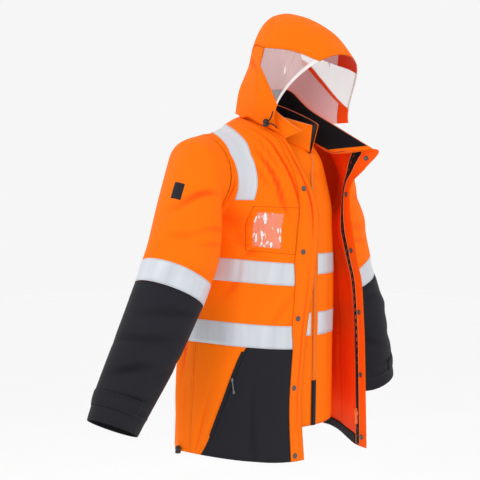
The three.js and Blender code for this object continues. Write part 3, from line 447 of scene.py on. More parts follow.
def sleeve_surface(front, back, side):
    """A sleeve as a function of the place round its ring, from the underarm up the front and down the back,
    and of the row, -1 at the armhole. Rings are tilted ellipses; the first stretch is a Hermite curve."""
    def ring(turn, row):
        angle = turn / ROUND * 2 * np.pi
        tilt = np.radians(along(SLEEVE, 5, row))
        outer = -np.cos(angle) * along(SLEEVE, 6, row)
        middle_y = along(SLEEVE, 2 if side < 0 else 3, row)
        return point(
            side * (along(SLEEVE, 1, row) + outer * np.cos(tilt)),
            middle_y - np.sin(angle) * along(SLEEVE, 7, row),
            along(SLEEVE, 4, row) + outer * np.sin(tilt),
        )

    def armhole(turn):
        up = np.clip(UNDERARM + turn, UNDERARM, SHOULDER)
        down = np.clip(SHOULDER - (turn - ROUND / 2), UNDERARM, SHOULDER)
        ends = [point(side * along(table, 1, row), along(table, 2, row), along(table, 3, row))
                for table, row in ((front, up), (back, down))]
        return np.where((turn <= ROUND / 2)[..., None], *ends) + np.array([side * 0.8, 0, 0])

    def shape(turn, row):
        turn = turn % ROUND
        first = ring(turn, np.zeros_like(row))
        second = ring(turn, np.ones_like(row))
        start = armhole(turn)
        t = np.clip(row + 1, 0, 1)[..., None]
        leave = first - start
        arrive = 0.5 * (second - first)
        hermite = ((2 * t ** 3 - 3 * t * t + 1) * start + (t ** 3 - 2 * t * t + t) * leave
                   + (3 * t * t - 2 * t ** 3) * first + (t ** 3 - t * t) * arrive)
        return np.where((row < 0)[..., None], hermite, ring(turn, np.maximum(row, 0)))

    def push(turn, row):
        counted = np.where(row < 0, row + 1, 1 + numbered(SLEEVE[:, 0], np.maximum(row, 0)))
        total = 1 + SLEEVE[:-1, 0].sum()
        folds = fold_push(SLEEVE_FOLDS, turn % ROUND / ROUND, counted / total, *SLEEVE_SPAN)
        return folds * smooth((counted - 1) / 1.2)

    return lifted(shape, ((-1, ROUND + 1), (-1, SLEEVE_END)), -side, push)


def hood_surface():
    """The hood as a function of the line over the head, 0 right foot, 3 top, 6 left foot, and of the rib.
    Each rib is a cubic arch from its foot to the top on each side."""
    def arch(line, row, side):
        first = 1 if side < 0 else 6
        x, y, z, out, back = (along(HOOD, first + k, row) for k in range(5))
        up, top_y, top_z, wide = (along(HOOD, k, row) for k in (11, 12, 13, 14))
        seam = along(HOOD, 16 if side < 0 else 18, row)
        foot = along(HOOD, 15 if side < 0 else 17, row)
        foot = np.where(row < WINDOW_END[side], foot, seam)
        step = line if side < 0 else 6 - line
        upper = np.where(step < 2, foot + (seam - foot) * (step - 1), seam + (1 - seam) * (step - 2))
        share = np.where(step < 1, foot * step, upper)
        b = point(side * (x + out), y + back, z + up)
        c = point(side * wide, top_y, top_z)
        return cubic(point(side * x, y, z), b, c, point(0 * x, top_y, top_z), np.clip(share, 0, 1))

    def shape(line, row):
        right = arch(np.minimum(line, 3), row, -1)
        left = arch(np.maximum(line, 3), row, 1)
        return np.where((line <= 3)[..., None], right, left)

    def push(line, row):
        folds = fold_push(HOOD_FOLDS, line / 6, row / HOOD_END, *HOOD_SPAN)
        held = smooth(line * 3) * smooth((6 - line) * 3) * smooth(row * 2) * smooth((HOOD_END - row) * 2)
        return folds * held

    return lifted(shape, ((0, 6), (0, HOOD_END)), 1, push)


def collar_surface(table, wave, sink):
    """A collar as a function of the place round the neck and of the height, 0 at the foot and 1 at the top:
    straight from foot to top, with a small wave along the top edge. Sink lowers the foot, and the whole of
    the left end, by heights read at places round the neck, so that it closes on the fronts."""
    last = len(table) - 1

    def shape(line, row):
        foot = point(*(along(table, k, line) for k in (1, 2, 3)))
        top = point(*(along(table, k, line) for k in (4, 5, 6)))
        foot_share = (1 - row) ** 3
        end_share = smooth((line - last + 0.8) / 0.8)
        low = np.interp(line, *sink) * (foot_share + (1 - foot_share) * end_share)
        return foot + (top - foot) * row[..., None] - point(0 * low, 0 * low, low)

    def push(line, row):
        return wave * row * np.sin(line * 2.1 + 0.6) * smooth(line) * smooth(last - line)

    return lifted(shape, ((0, last), (0, 1)), -1, push)


VEST_HEIGHTS = np.array([0, 1, 5, 6, 10])
REAR = {}
for side, front in ((-1, RIGHT_FRONT), (1, LEFT_FRONT)):
    REAR[side] = BACK.copy()
    REAR[side][:UNDERARM + 1, 1:4] = front[:UNDERARM + 1, 1:4]
RIGHT = half_surface(RIGHT_FRONT, RIGHT_LINES, LINE_ROWS, -1, 1, RIGHT_FOLDS)
LEFT = half_surface(LEFT_FRONT, LEFT_LINES, LINE_ROWS, 1, -1, LEFT_FOLDS)
REAR_RIGHT, REAR_LEFT = (
    half_surface(REAR[s], BACK_LINES, LINE_ROWS, s, s, BACK_FOLDS) for s in (-1, 1))
VEST_RIGHT, VEST_LEFT = (
    half_surface(VEST_FRONT, VEST_LINES, VEST_HEIGHTS, s, -s, VEST_FOLDS) for s in (-1, 1))
VEST_REAR_RIGHT, VEST_REAR_LEFT = (
    half_surface(VEST_BACK, VEST_LINES, VEST_HEIGHTS, s, s, VEST_FOLDS) for s in (-1, 1))
SLEEVES = {"right": sleeve_surface(RIGHT_FRONT, REAR[-1], -1), "left": sleeve_surface(LEFT_FRONT, REAR[1], 1)}
HOOD_SKIN = hood_surface()
COLLAR_SKIN = collar_surface(COLLAR, 1.2, COLLAR_SINK)
VEST_COLLAR_SKIN = collar_surface(VEST_COLLAR, 0.8, ((0, 9), (0, 0)))


def step_lengths(points, axis):
    """Running length along one axis of a grid of points."""
    steps = np.linalg.norm(np.diff(points, axis=axis), axis=-1)
    zero_shape = list(steps.shape)
    zero_shape[axis] = 1
    return np.concatenate([np.zeros(zero_shape), np.cumsum(steps, axis=axis)], axis=axis)


def new_object(name, verts, faces, uv=None, values=None):
    """Mesh object from points in millimetres, faces, a map in metres and named values per point."""
    mesh = bpy.data.meshes.new(name)
    mesh.from_pydata((np.asarray(verts) * MM).tolist(), [], [list(f) for f in faces])
    mesh.polygons.foreach_set("use_smooth", [True] * len(mesh.polygons))
    if uv is not None:
        corners = np.empty(len(mesh.loops), dtype=np.int32)
        mesh.loops.foreach_get("vertex_index", corners)
        layer = mesh.uv_layers.new(name="cloth")
        layer.data.foreach_set("uv", (np.asarray(uv) * MM)[corners].ravel())
    for key, array in (values or {}).items():
        attribute = mesh.attributes.new(key, "FLOAT", "POINT")
        attribute.data.foreach_set("value", np.asarray(array, dtype=np.float32))
    mesh.update()
    obj = bpy.data.objects.new(name, mesh)
    bpy.context.collection.objects.link(obj)
    return obj


def merge(verts, quads, *arrays):
    """Joins points that share a place and drops what collapses."""
    keys = np.round(verts / SAME_PLACE).astype(np.int64)
    _, first, index = np.unique(keys, axis=0, return_index=True, return_inverse=True)
    index = index.ravel()
    quads = index[quads]
    faces = []
    for quad in quads.tolist():
        face = [a for a, b in zip(quad, quad[1:] + quad[:1]) if a != b]
        if len(set(face)) > 2:
            faces.append(face)
    return verts[first], faces, [a[first] for a in arrays]


def hollows(grid, out, cell):
    """How hollow the cloth is at each point, 0 to 1, which sets its painted crease shade: the second
    difference over two cells, across and up, taken along the outward direction and set against the curvature
    of a full crease."""
    reach = 2
    bend = np.zeros(grid.shape[:2])
    for turn in (False, True):
        one, way, found = (grid.swapaxes(0, 1), out.swapaxes(0, 1), bend.T) if turn else (grid, out, bend)
        if one.shape[0] > 2 * reach:
            second = one[2 * reach:] + one[:-2 * reach] - 2 * one[reach:-reach]
            here = (second * way[reach:-reach]).sum(axis=-1) / (reach * cell) ** 2
            found[reach:-reach] = np.maximum(found[reach:-reach], here)
    return np.clip(bend / FULL_CREASE, 0, 1)


def grid_quads(index):
    """Quads between the neighbours of a grid of point numbers."""
    return np.stack([index[:-1, :-1], index[:-1, 1:], index[1:, 1:], index[1:, :-1]], axis=-1).reshape(-1, 4)


def thicken(obj, thick):
    """Gives a sheet its thickness in millimetres, half to each side, with its last look on the inside."""
    wall = obj.modifiers.new("Cloth", "SOLIDIFY")
    wall.thickness = thick * MM
    wall.offset = 0
    wall.use_rim = True
    wall.material_offset = len(obj.data.materials) - 1


def declare(obj, nodes=()):
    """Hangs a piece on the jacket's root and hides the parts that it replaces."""
    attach(obj, "root")
    for node in nodes:
        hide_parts(node)


def seam_map(seams, across, up):
    """Distance of each point from the nearest seam, and the run along that seam."""
    dist = np.full(across.shape, NO_SEAM)
    run = np.zeros(across.shape)
    for letter, gap, other in (("l", across, up), ("r", across[:, -1:] - across, up),
                               ("b", up, across), ("t", up[-1:] - up, across)):
        if letter in seams:
            nearer = gap < dist
            dist = np.where(nearer, gap, dist)
            run = np.where(nearer, other, run)
    return dist, run


def sheet_piece(name, patches, looks, lift=0.0, thick=None, cell=6.0, pinch=0.7, node=None, held="hung",
                rests=(), slot="orange_cloth", join="across"):
    """A sewn piece: each patch is (surface, first line, last line, first row, last row, seams), sampled on an
    even grid of about one cell, pinched in along its seams, joined, and given its thickness. Its points carry
    their distance from a seam, the run along it and how hollow the cloth is, which sets the painted shade in
    its creases."""
    thick = bpy.context.scene.jacket.cloth * 1000 if thick is None else thick
    spans = []
    for surface, l0, l1, r0, r1, _ in patches:
        rough = surface(*np.meshgrid(np.linspace(l0, l1, 9), np.linspace(r0, r1, 9)))
        spans.append((step_lengths(rough, 1)[:, -1].max(), step_lengths(rough, 0)[-1].max()))
    widths, heights = zip(*spans)
    wide = [max(2, math.ceil(w / cell)) for w in widths]
    tall = [max(2, math.ceil(h / cell)) for h in heights]
    if join == "across":
        tall = [max(tall)] * len(tall)
    if join == "along":
        wide = [max(wide)] * len(wide)
    found, area, start, offset = [], 0.0, 0, 0.0
    for (surface, l0, l1, r0, r1, seams), n, m in zip(patches, wide, tall):
        line, row = np.meshgrid(np.linspace(l0, l1, n + 1), np.linspace(r0, r1, m + 1))
        flat = surface(line, row)
        across = step_lengths(flat, 1)
        up = step_lengths(flat, 0)
        dist, run = seam_map(seams, across, up)
        dent = pinch * np.exp(-(dist / SEAM_WIDTH) ** 2) * (1 + PUCKER * np.sin(run / PUCKER_LENGTH))
        grid = surface(line, row, lift - dent)
        # how hollow each point is, which sets the painted shade in the creases
        crease_shade_share = hollows(grid, surface(line, row, 1.0) - flat, cell)
        quads = grid_quads(np.arange(line.size).reshape(line.shape))
        if surface.sign < 0:
            quads = quads[:, ::-1]
        points = grid.reshape(-1, 3)
        first, second = (points[quads[:, k + 2]] - points[quads[:, k]] for k in (0, 1))
        area += np.linalg.norm(np.cross(first, second), axis=-1).sum() / 2
        uv = np.stack([across + offset, up], axis=-1).reshape(-1, 2)
        found.append((points, quads + start, uv, dist.ravel(), run.ravel(), crease_shade_share.ravel()))
        start += line.size
        offset += across.max()
    verts, faces, (uv, edge, run, crease_shade_share) = merge(*(np.concatenate(part) for part in zip(*found)))
    obj = new_object(name, verts, faces, uv, {"edge": edge * MM, "run": run * MM, "crease_shade_share": crease_shade_share})
    for look in [looks] if isinstance(looks, str) else looks:
        obj.data.materials.append(LOOKS[look])
    thicken(obj, thick)
    declare(obj, [node] if node else [])
    flat = (max(widths), sum(heights)) if join == "along" else (sum(widths), max(heights))
    area_m = area * MM * MM
    room = flat[0] * flat[1] * MM * MM
    grow = max(1.0, math.sqrt(area_m / room) * FLAT_ROOM)
    flat = tuple(max(LEAST_FLAT, side * MM * grow) for side in flat)
    return obj


LOOKS = {}


class Look:
    """A finish in the making: a material's nodes and links, with one call for each kind of node."""

    def __init__(self, name, colour, rough, metal=0.0, sheen=0.0, alpha=1.0, glow=0.0, coat=0.0, gloss=0.5):
        material = bpy.data.materials.new(name)
        material.use_nodes = True
        self.nodes = material.node_tree.nodes
        self.links = material.node_tree.links
        self.shader = self.nodes["Principled BSDF"].inputs
        for socket, value in (
                ("Base Color", colour), ("Roughness", rough), ("Metallic", metal), ("Alpha", alpha),
                ("Sheen Weight", sheen), ("Sheen Roughness", 0.4), ("Coat Weight", coat),
                ("Specular IOR Level", gloss)):
            self.feed(self.shader[socket], value)
        if glow:
            self.feed(self.shader["Emission Color"], colour)
            self.feed(self.shader["Emission Strength"], glow)
        LOOKS[name] = material

    def feed(self, socket, value):
        """Links a socket to another one, or sets it to a number or a colour."""
        if isinstance(value, bpy.types.NodeSocket):
            self.links.new(value, socket)
        else:
            socket.default_value = (*value, 1) if isinstance(value, tuple) else value

    def node(self, kind, inputs=(), **settings):
        """A shader node with its settings, its inputs fed by name or number."""
        node = self.nodes.new(f"ShaderNode{kind}")
        for key, value in settings.items():
            setattr(node, key, value)
        for key, value in inputs:
            self.feed(node.inputs[key], value)
        return node

    def maths(self, operation, *values):
        """What a maths operation makes of sockets and numbers."""
        return self.node("Math", enumerate(values), operation=operation).outputs[0]

    def noise(self, vector, scale, detail, rough=0.5):
        """Soft noise at the given coordinates."""
        inputs = (("Vector", vector), ("Scale", scale), ("Detail", detail), ("Roughness", rough))
        return self.node("TexNoise", inputs).outputs["Fac"]

    def mixed(self, factor, first, second):
        """A colour between two, by a factor."""
        return self.node("Mix", ((0, factor), (6, first), (7, second)), data_type="RGBA").outputs[2]

    def cloth_map(self):
        """Coordinates of the piece laid flat, in metres."""
        return self.node("UVMap", uv_map="cloth").outputs[0]

    def place(self):
        """Coordinates in the jacket's frame."""
        return self.node("TexCoord").outputs["Object"]

    def stretched(self, vector, scale):
        """Coordinates times a scale for each axis."""
        node = self.node("Mapping", (("Vector", vector),))
        node.inputs["Scale"].default_value = scale
        return node.outputs[0]

    def carried(self, name):
        """A value that the piece's points carry."""
        return self.node("Attribute", attribute_name=name).outputs["Fac"]

    def stitches(self, inset, half, pitch):
        """1 on the dashes of a line beside each seam, by its inset, half width and pitch in metres."""
        away = self.maths("ABSOLUTE", self.maths("SUBTRACT", self.carried("edge"), inset))
        wave = self.maths("SINE", self.maths("MULTIPLY", self.carried("run"), 2 * math.pi / pitch))
        dash = self.maths("GREATER_THAN", wave, -0.3)
        return self.maths("MULTIPLY", self.maths("LESS_THAN", away, half), dash)

    def paint(self, colour, glows=False):
        """Feeds the shader's colour, and its glow's colour."""
        self.feed(self.shader["Base Color"], colour)
        if glows:
            self.feed(self.shader["Emission Color"], colour)

    def bump(self, height, distance, strength):
        """A relief of a given depth in metres."""
        inputs = (("Strength", strength), ("Distance", distance), ("Height", height))
        self.feed(self.shader["Normal"], self.node("Bump", inputs).outputs["Normal"])


def shaded(colour, factor):
    """A colour times a factor."""
    return tuple(min(1.0, c * factor) for c in colour)


def cloth_look(name, colour, rough=0.72, weave=0.0009, sheen=0.15, glow=0.0, stitches=True, mottle=0.05,
               thread=0.86, crumple=0.0009, deep=None):
    """Woven cloth: a plain weave of two crossed waves on the piece's own map, soft blotches, faint crumples,
    painted shade in the hollows of its creases, and a line of stitches beside each seam."""
    look = Look(name, colour, rough, sheen=sheen, glow=glow, gloss=0.12)
    place = look.place()
    ways = look.node("SeparateXYZ", ((0, look.cloth_map()),)).outputs
    warp, weft = (look.maths("SINE", look.maths("MULTIPLY", ways[k], 2 * math.pi / weave)) for k in (0, 1))
    shade = look.mixed(look.noise(place, 7.0, 2.0), shaded(colour, 1 - mottle), shaded(colour, 1 + mottle))
    # painted shade: the hollows of creases take a darker, redder colour
    if deep is not None:
        shade = look.mixed(look.maths("MULTIPLY", look.carried("crease_shade_share"), 0.95), shade, deep)
    creased = look.maths("MULTIPLY", look.noise(place, 26.0, 4.0, 0.55), crumple * 1000)
    drape = look.noise(look.stretched(place, (1.0, 1.0, 0.42)), 12.0, 1.0)
    relief = look.maths("MULTIPLY_ADD", drape, 4.5, creased)
    height = look.maths("MULTIPLY_ADD", look.maths("MULTIPLY", warp, weft), 0.06, relief)
    if stitches:
        stitch = look.maths("MULTIPLY", look.stitches(*CLOTH_STITCH), 0.8)
        dark = look.maths("MAXIMUM", stitch, look.maths("LESS_THAN", look.carried("edge"), SEAM_LINE))
        shade = look.mixed(dark, shade, shaded(colour, thread * 0.8))
        height = look.maths("SUBTRACT", height, look.maths("MULTIPLY", dark, 0.4))
    look.paint(shade, glows=glow > 0)
    look.bump(height, 0.001, 0.9)


def tape_look(name, colour):
    """Reflective tape: a fine honeycomb of beads, long soft painted streaks of light and shade, a faint
    painted glow and a stitched edge.
    """
    # the glow is painted light
    look = Look(name, colour, 0.42, metal=0.12, glow=0.04)
    place = look.cloth_map()
    streak = look.noise(look.stretched(place, (34.0, 3.0, 1.0)), 1.0, 2.0)
    beads = look.node("TexVoronoi", (("Vector", place), ("Scale", 900.0))).outputs["Distance"]
    # painted light and shade: the streaks make the tape's colour lighter and darker
    shade = look.mixed(streak, shaded(colour, 0.8), shaded(colour, 1.22))
    stitch = look.maths("MULTIPLY", look.stitches(*TAPE_STITCH), 0.6)
    look.paint(look.mixed(stitch, shade, shaded(colour, 0.55)), glows=True)
    look.bump(look.maths("MULTIPLY_ADD", beads, 0.15, look.maths("MULTIPLY", streak, 0.8)), 0.0008, 0.5)


def film_look(name, colour, alpha, wrinkle, glint=0.62):
    """Clear film: a see-through glossy sheet with soft wrinkles and painted highlights, white and less
    see-through where the wrinkles' noise passes the glint level.
    """
    look = Look(name, colour, 0.08, alpha=alpha, coat=0.6)
    wave = look.noise(look.stretched(look.place(), (1.0, 1.0, 0.35)), wrinkle, 2.0)
    # painted highlight: white, less see-through patches where the noise passes glint
    ramp = look.maths("MULTIPLY", look.maths("SUBTRACT", wave, glint), 40.0)
    bright = look.maths("MINIMUM", look.maths("MAXIMUM", ramp, 0.0), 1.0)
    look.paint(look.mixed(bright, colour, (1, 1, 1)))
    look.feed(look.shader["Alpha"], look.maths("MULTIPLY_ADD", bright, 0.75 * (1 - alpha), alpha))
    look.bump(wave, 0.012, 0.9)


def hard_look(name, colour, rough, metal=0.0):
    """Moulded or plated finish: fine grain with slight wear in colour."""
    look = Look(name, colour, rough, metal=metal, coat=0.1)
    grains = look.noise(look.place(), 240.0, 3.0)
    look.paint(look.mixed(grains, shaded(colour, 0.75), shaded(colour, 1.3)))
    look.bump(grains, 0.0002, 0.5)


def make_looks(settings):
    """All finishes of the jacket."""
    orange = tuple(settings.orange)
    navy = tuple(settings.navy)
    # Glows: on the fluorescent orange cloths, tape and piping they are painted light standing in for
    # fluorescence; on the hood's inside the glow is painted light.
    cloth_look("orange_shell", orange, glow=0.1, sheen=0.0, deep=(0.9, 0.05, 0.001))
    # Painted shade: the insides are darker copies of the shell cloths, orange_inside and flap_inside a
    # darker, redder orange
    cloth_look("orange_inside", (0.95, 0.07, 0.004), rough=0.6, sheen=0.0, glow=0.06, stitches=False,
               crumple=0.0014)
    cloth_look("flap_inside", (0.98, 0.105, 0.003), rough=0.6, sheen=0.0, glow=0.09, stitches=False,
               crumple=0.0014)
    # painted shade: a darker orange for the shaded inside of the hood's peak
    cloth_look("deep_orange", (0.85, 0.04, 0.004), rough=0.6, stitches=False)
    cloth_look("hood_inside", (0.88, 0.56, 0.56), rough=0.6, glow=0.04, stitches=False)
    cloth_look("navy_shell", navy, sheen=0.05, mottle=0.1, thread=0.6, deep=shaded(navy, 0.5))
    # painted shade: the navy's inside is the navy darkened to 0.8
    cloth_look("navy_inside", shaded(navy, 0.8), sheen=0.05, stitches=False)
    cloth_look("fleece", shaded(navy, 0.45), rough=0.95, weave=0.003, sheen=0.35, mottle=0.2, crumple=0.003)
    cloth_look("zip_tape", (0.012, 0.012, 0.016), rough=0.8, weave=0.0014, stitches=False)
    cloth_look("orange_tape", shaded(orange, 0.93), rough=0.7, weave=0.0014, glow=0.12, stitches=False)
    cloth_look("piping", (0.9, 0.24, 0.07), rough=0.6, glow=0.04, stitches=False)
    cloth_look("label_patch", (0.02, 0.02, 0.024), rough=0.7, weave=0.0011)
    cloth_look("cord_braid", (0.015, 0.015, 0.018), rough=0.7, weave=0.0012, stitches=False)
    tape_look("reflective", tuple(settings.tape))
    film_look("hood_film", (0.9, 0.8, 0.79), 0.18, 22.0, 0.61)
    film_look("pocket_film", (1.0, 0.5, 0.36), 0.3, 110.0, 0.57)
    film_look("film_edge", (1.0, 0.95, 0.94), 0.62, 30.0)
    hard_look("stud_metal", (0.11, 0.11, 0.115), 0.35, metal=0.85)
    hard_look("socket_metal", (0.16, 0.15, 0.14), 0.4, metal=0.85)
    hard_look("black_nylon", (0.014, 0.014, 0.016), 0.45)
    hard_look("orange_enamel", (1.0, 0.16, 0.02), 0.35)
    hard_look("zip_teeth", (0.02, 0.02, 0.024), 0.62)
    hard_look("orange_teeth", (0.95, 0.28, 0.06), 0.45)
    hard_look("steel_pull", (0.16, 0.16, 0.165), 0.4, metal=0.85)


class JacketSettings(bpy.types.PropertyGroup):
    """Sizes and colours of the jacket that a user would change."""
    cloth: bpy.props.FloatProperty(
        name="Cloth thickness", description="Thickness of the shell cloth", default=0.0012, min=0.0005,
        max=0.003, unit="LENGTH")
    tape_thick: bpy.props.FloatProperty(
        name="Tape thickness", description="Thickness of the reflective tape", default=0.0005, min=0.0002,
        max=0.002, unit="LENGTH")
    orange: bpy.props.FloatVectorProperty(
        name="Orange", description="Fluorescent shell cloth", subtype="COLOR", default=(0.98, 0.165, 0.0),
        min=0, max=1)
    navy: bpy.props.FloatVectorProperty(
        name="Navy", description="Dark shell cloth", subtype="COLOR", default=(0.017, 0.017, 0.023),
        min=0, max=1)
    tape: bpy.props.FloatVectorProperty(
        name="Tape", description="Reflective tape", subtype="COLOR", default=(0.6, 0.63, 0.68), min=0, max=1)
    floor_drop: bpy.props.FloatProperty(
        name="Floor", description="Height of the floor below the neck", default=-1.45, unit="LENGTH")
    light: bpy.props.FloatProperty(
        name="Light", description="Power of the main soft light", default=15.0, min=0, unit="POWER")


def ring_faces(count, sides):
    """Faces of rings of points joined one to the next, with both ends closed."""
    index = np.arange(count * sides).reshape(count, sides)
    after = np.roll(index, -1, axis=1)
    quads = np.stack([index[:-1], after[:-1], after[1:], index[1:]], axis=-1).reshape(-1, 4).tolist()
    return quads + [index[0][::-1].tolist(), index[-1].tolist()]


def solid(name, points, faces, look, uv=None):
    """A closed mesh with its look, its faces turned outwards."""
    obj = new_object(name, points, faces, uv)
    obj.data.materials.append(LOOKS[look])
    mesh = bmesh.new()
    mesh.from_mesh(obj.data)
    bmesh.ops.recalc_face_normals(mesh, faces=mesh.faces)
    mesh.to_mesh(obj.data)
    mesh.free()
    return obj


def tube(name, path, radius, look, sides=10, nodes=()):
    """A round tube: rings of a fixed radius carried along the path, turned to its direction."""
    path = np.asarray(path, float)
    tangent = np.gradient(path, axis=0)
    tangent /= np.linalg.norm(tangent, axis=1, keepdims=True)
    helper = np.array([0.0, 0.0, 1.0]) if abs(tangent[0][2]) < 0.8 else np.array([1.0, 0.0, 0.0])
    first = np.cross(tangent, helper)
    first /= np.linalg.norm(first, axis=1, keepdims=True)
    second = np.cross(tangent, first)
    angle = np.linspace(0, 2 * np.pi, sides, endpoint=False)
    rings = (path[:, None] + radius * (np.cos(angle)[None, :, None] * first[:, None]
                                       + np.sin(angle)[None, :, None] * second[:, None]))
    uv = point(angle * radius, step_lengths(path[None], 1)[0][:, None], 0)[..., :2]
    obj = solid(name, rings.reshape(-1, 3), ring_faces(len(path), sides), look, uv.reshape(-1, 2))
    declare(obj, nodes)
    return obj


def frame_at(middle, normal, down=(0, 0, -1)):
    """Axes across, down and out of a surface at a point."""
    normal = normal / np.linalg.norm(normal)
    down = np.asarray(down, float) - normal * np.dot(down, normal)
    down /= np.linalg.norm(down)
    return np.asarray(middle, float), np.cross(down, normal), down, normal


def placed(shape, axes, shift=(0, 0, 0)):
    """A shape with its points, given as across, down and out, shifted and carried to a frame."""
    middle, across, down, out = axes
    points = shape[0] + np.asarray(shift, float)
    return middle + points[:, :1] * across + points[:, 1:2] * down + points[:, 2:] * out, shape[1]


def turned(profile, sides=24):
    """A profile of radius and height turned round its axis, as rings with closed ends."""
    angle = np.linspace(0, 2 * np.pi, sides, endpoint=False)
    radius, height = np.asarray(profile, float).T[:, :, None]
    rings = point(radius * np.cos(angle), radius * np.sin(angle), height)
    return rings.reshape(-1, 3), ring_faces(len(profile), sides)


def rounded_block(wide, long, thick, sides=20):
    """A flat block with rounded corners: four superellipse rings from the base to the top face."""
    angle = np.linspace(0, 2 * np.pi, sides, endpoint=False)
    x, y = (np.sign(c) * np.abs(c) ** 0.45 * size / 2
            for c, size in ((np.cos(angle), wide), (np.sin(angle), long)))
    rings = [point(x * shrink, y * shrink, z)
             for shrink, z in ((0.9, 0), (1, thick * 0.25), (1, thick * 0.7), (0.82, thick))]
    return np.concatenate(rings), ring_faces(len(rings), sides)


def hard_piece(name, shapes, look, node):
    """A hard piece made of closed shapes, riding on the jacket."""
    verts, faces, start = [], [], 0
    for points, quads in shapes:
        verts.append(points)
        faces += [[k + start for k in face] for face in quads]
        start += len(points)
    declare(solid(name, np.concatenate(verts), faces, look), [node])


def spot(surface, line, height, out=0.0):
    """Point and outward normal of a surface on one grid line at a height."""
    rows = np.linspace(*surface.limits[1], 800)
    z = surface(float(line), rows)[:, 2]
    order = np.argsort(z)
    row = np.interp(height, z[order], rows[order])
    low, high = (surface(line, [row], lift)[0] for lift in (0.0, 1.0))
    normal = (high - low) / np.linalg.norm(high - low)
    return low + normal * out, normal


class JACKET_OT_camera(bpy.types.Operator):
    """Sets up the photo's camera, level and at the jacket's middle height"""
    bl_idname = "jacket.camera"
    bl_label = "Camera"

    def execute(self, context):
        data = bpy.data.cameras.new("camera")
        data.lens = CAMERA_LENS
        data.sensor_width = CAMERA_SENSOR
        data.shift_x = CAMERA_SHIFT
        data.shift_y = CAMERA_SHIFT
        camera = bpy.data.objects.new("camera", data)
        context.collection.objects.link(camera)
        heading = math.radians(CAMERA_HEADING)
        camera.location = (-CAMERA_DISTANCE * math.sin(heading), -CAMERA_DISTANCE * math.cos(heading),
                           CAMERA_HEIGHT)
        camera.rotation_euler = (math.pi / 2, 0, -heading)
        context.scene.camera = camera
        return {"FINISHED"}


class JACKET_OT_cords(bpy.types.Operator):
    """Makes the two ends of the hood's drawcord and both cord locks"""
    bl_idname = "jacket.cords"
    bl_label = "Cords and cord locks"

    def execute(self, context):
        make_looks(context.scene.jacket)
        low, high = (np.array(c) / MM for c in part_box("hood_cord_lock"))
        middle = (low + high) / 2
        for word, route in (("upper", UPPER_CORD), ("lower", LOWER_CORD)):
            table = np.array([(0, *p) for p in route], dtype=float)
            place = np.linspace(0, len(route) - 1, 25)
            path = point(*(along(table, k, place) for k in (1, 2, 3))) + middle + np.array(LOCK_EXIT)
            obj = tube(f"hood_cord_{word}_end", path, 1.5, "cord_braid",
                       nodes=[f"hood_cord_{word}"])
            length = float(step_lengths(path[None], 1)[0, -1]) * MM
        for node in ("hood_cord_lock", "hem_cord_lock"):
            low, high = (np.array(c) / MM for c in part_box(node))
            axes = frame_at((low + high) / 2, np.array([0.0, 0.0, 1.0]), down=(0, -1, 0))
            barrel = turned([(4.6, -7.5), (6.2, -7.1), (6.5, -6), (6.5, -1.6), (5.7, -1.2), (5.7, 0.4),
                             (6.5, 0.8), (6.5, 5.6), (6.1, 6.9), (4.4, 7.5)])
            cap = turned([(3.6, 7.2), (4.4, 7.6), (4.4, 9.4), (3.5, 9.9)], 18)
            hard_piece(f"{node}_body", [placed(barrel, axes), placed(cap, axes)], "black_nylon",
                       node)
        return {"FINISHED"}


class JACKET_OT_body(bpy.types.Operator):
    """Makes the jacket's fronts, back, pocket panels, flaps and lining"""
    bl_idname = "jacket.body"
    bl_label = "Body"

    def execute(self, context):
        shell = ["orange_shell", "orange_inside"]
        navy = ["navy_shell", "navy_inside"]
        low = LOWER_BAND[0]
        top = SHOULDER
        sheet_piece("right_front_cloth", [(RIGHT, 0, 1, 0, low, "r"), (RIGHT, 0, 5, low, top, "lt")], shell,
                    node="right_front", join="none")
        sheet_piece("right_pocket_cloth", [(RIGHT, 1, 5, 0, low, "lrb")], navy, node="right_pocket_panel",
                    slot="navy_cloth")
        sheet_piece("left_front_cloth", [(LEFT, 0, 2, 0, low, "r"), (LEFT, 0, 3, low, top, "lt")], shell,
                    node="left_front", join="none")
        sheet_piece("left_pocket_cloth", [(LEFT, 2, 3, 0, low, "lrb")], navy, node="left_pocket_panel",
                    slot="navy_cloth")
        sheet_piece("back_cloth", [(skin, 0, 3, 0, top, "ltb") for skin in (REAR_RIGHT, REAR_LEFT)], shell,
                    node="back")
        sheet_piece("right_zip_cloth", [(RIGHT, 5, 6, 0, 12, "")], "zip_tape", lift=-0.4, thick=0.8,
                    node="right_zip_tape", slot="zip_tape", cell=5)
        sheet_piece("storm_flap_cloth", [(RIGHT, 4, 6, 0, 12, "lrb")], shell, lift=2.0, thick=1.6,
                    node="storm_flap", cell=5, rests=["right_front_cloth"])
        sheet_piece("left_zip_cloth", [(LEFT, 3, 4, 0, 12.5, "")], "zip_tape", thick=0.8,
                    node="left_zip_tape", slot="zip_tape", cell=4)
        sheet_piece("left_zip_facing", [(LEFT, LEFT_ZIP_LINE, LEFT_ZIP_EDGE, 0, 12.4, "")], "zip_tape",
                    lift=-1.3, thick=0.6, slot="zip_tape", cell=4, pinch=0, rests=["left_zip_cloth"])
        sheet_piece("left_flap_cloth", [(LEFT, 4, 6, 0, 12.5, "lrb")], ["orange_shell", "flap_inside"],
                    thick=1.8, node="left_flap", cell=5)
        sheet_piece("left_lining_cloth", [(LEFT, 2, 3, 0, 8, "")], "orange_inside", lift=-1.9, thick=0.7,
                    node="left_lining")
        for word, skin, last, lift, under in (("left", LEFT, 3, -2.7, "left_lining_cloth"),
                                              ("right", RIGHT, 5, -1.2, "right_front_cloth")):
            sheet_piece(f"{word}_hem_facing", [(skin, 0.05, last, 0, 0.28, "")], "navy_inside", lift=lift,
                        thick=0.6, slot="navy_cloth", rests=[under])
        return {"FINISHED"}


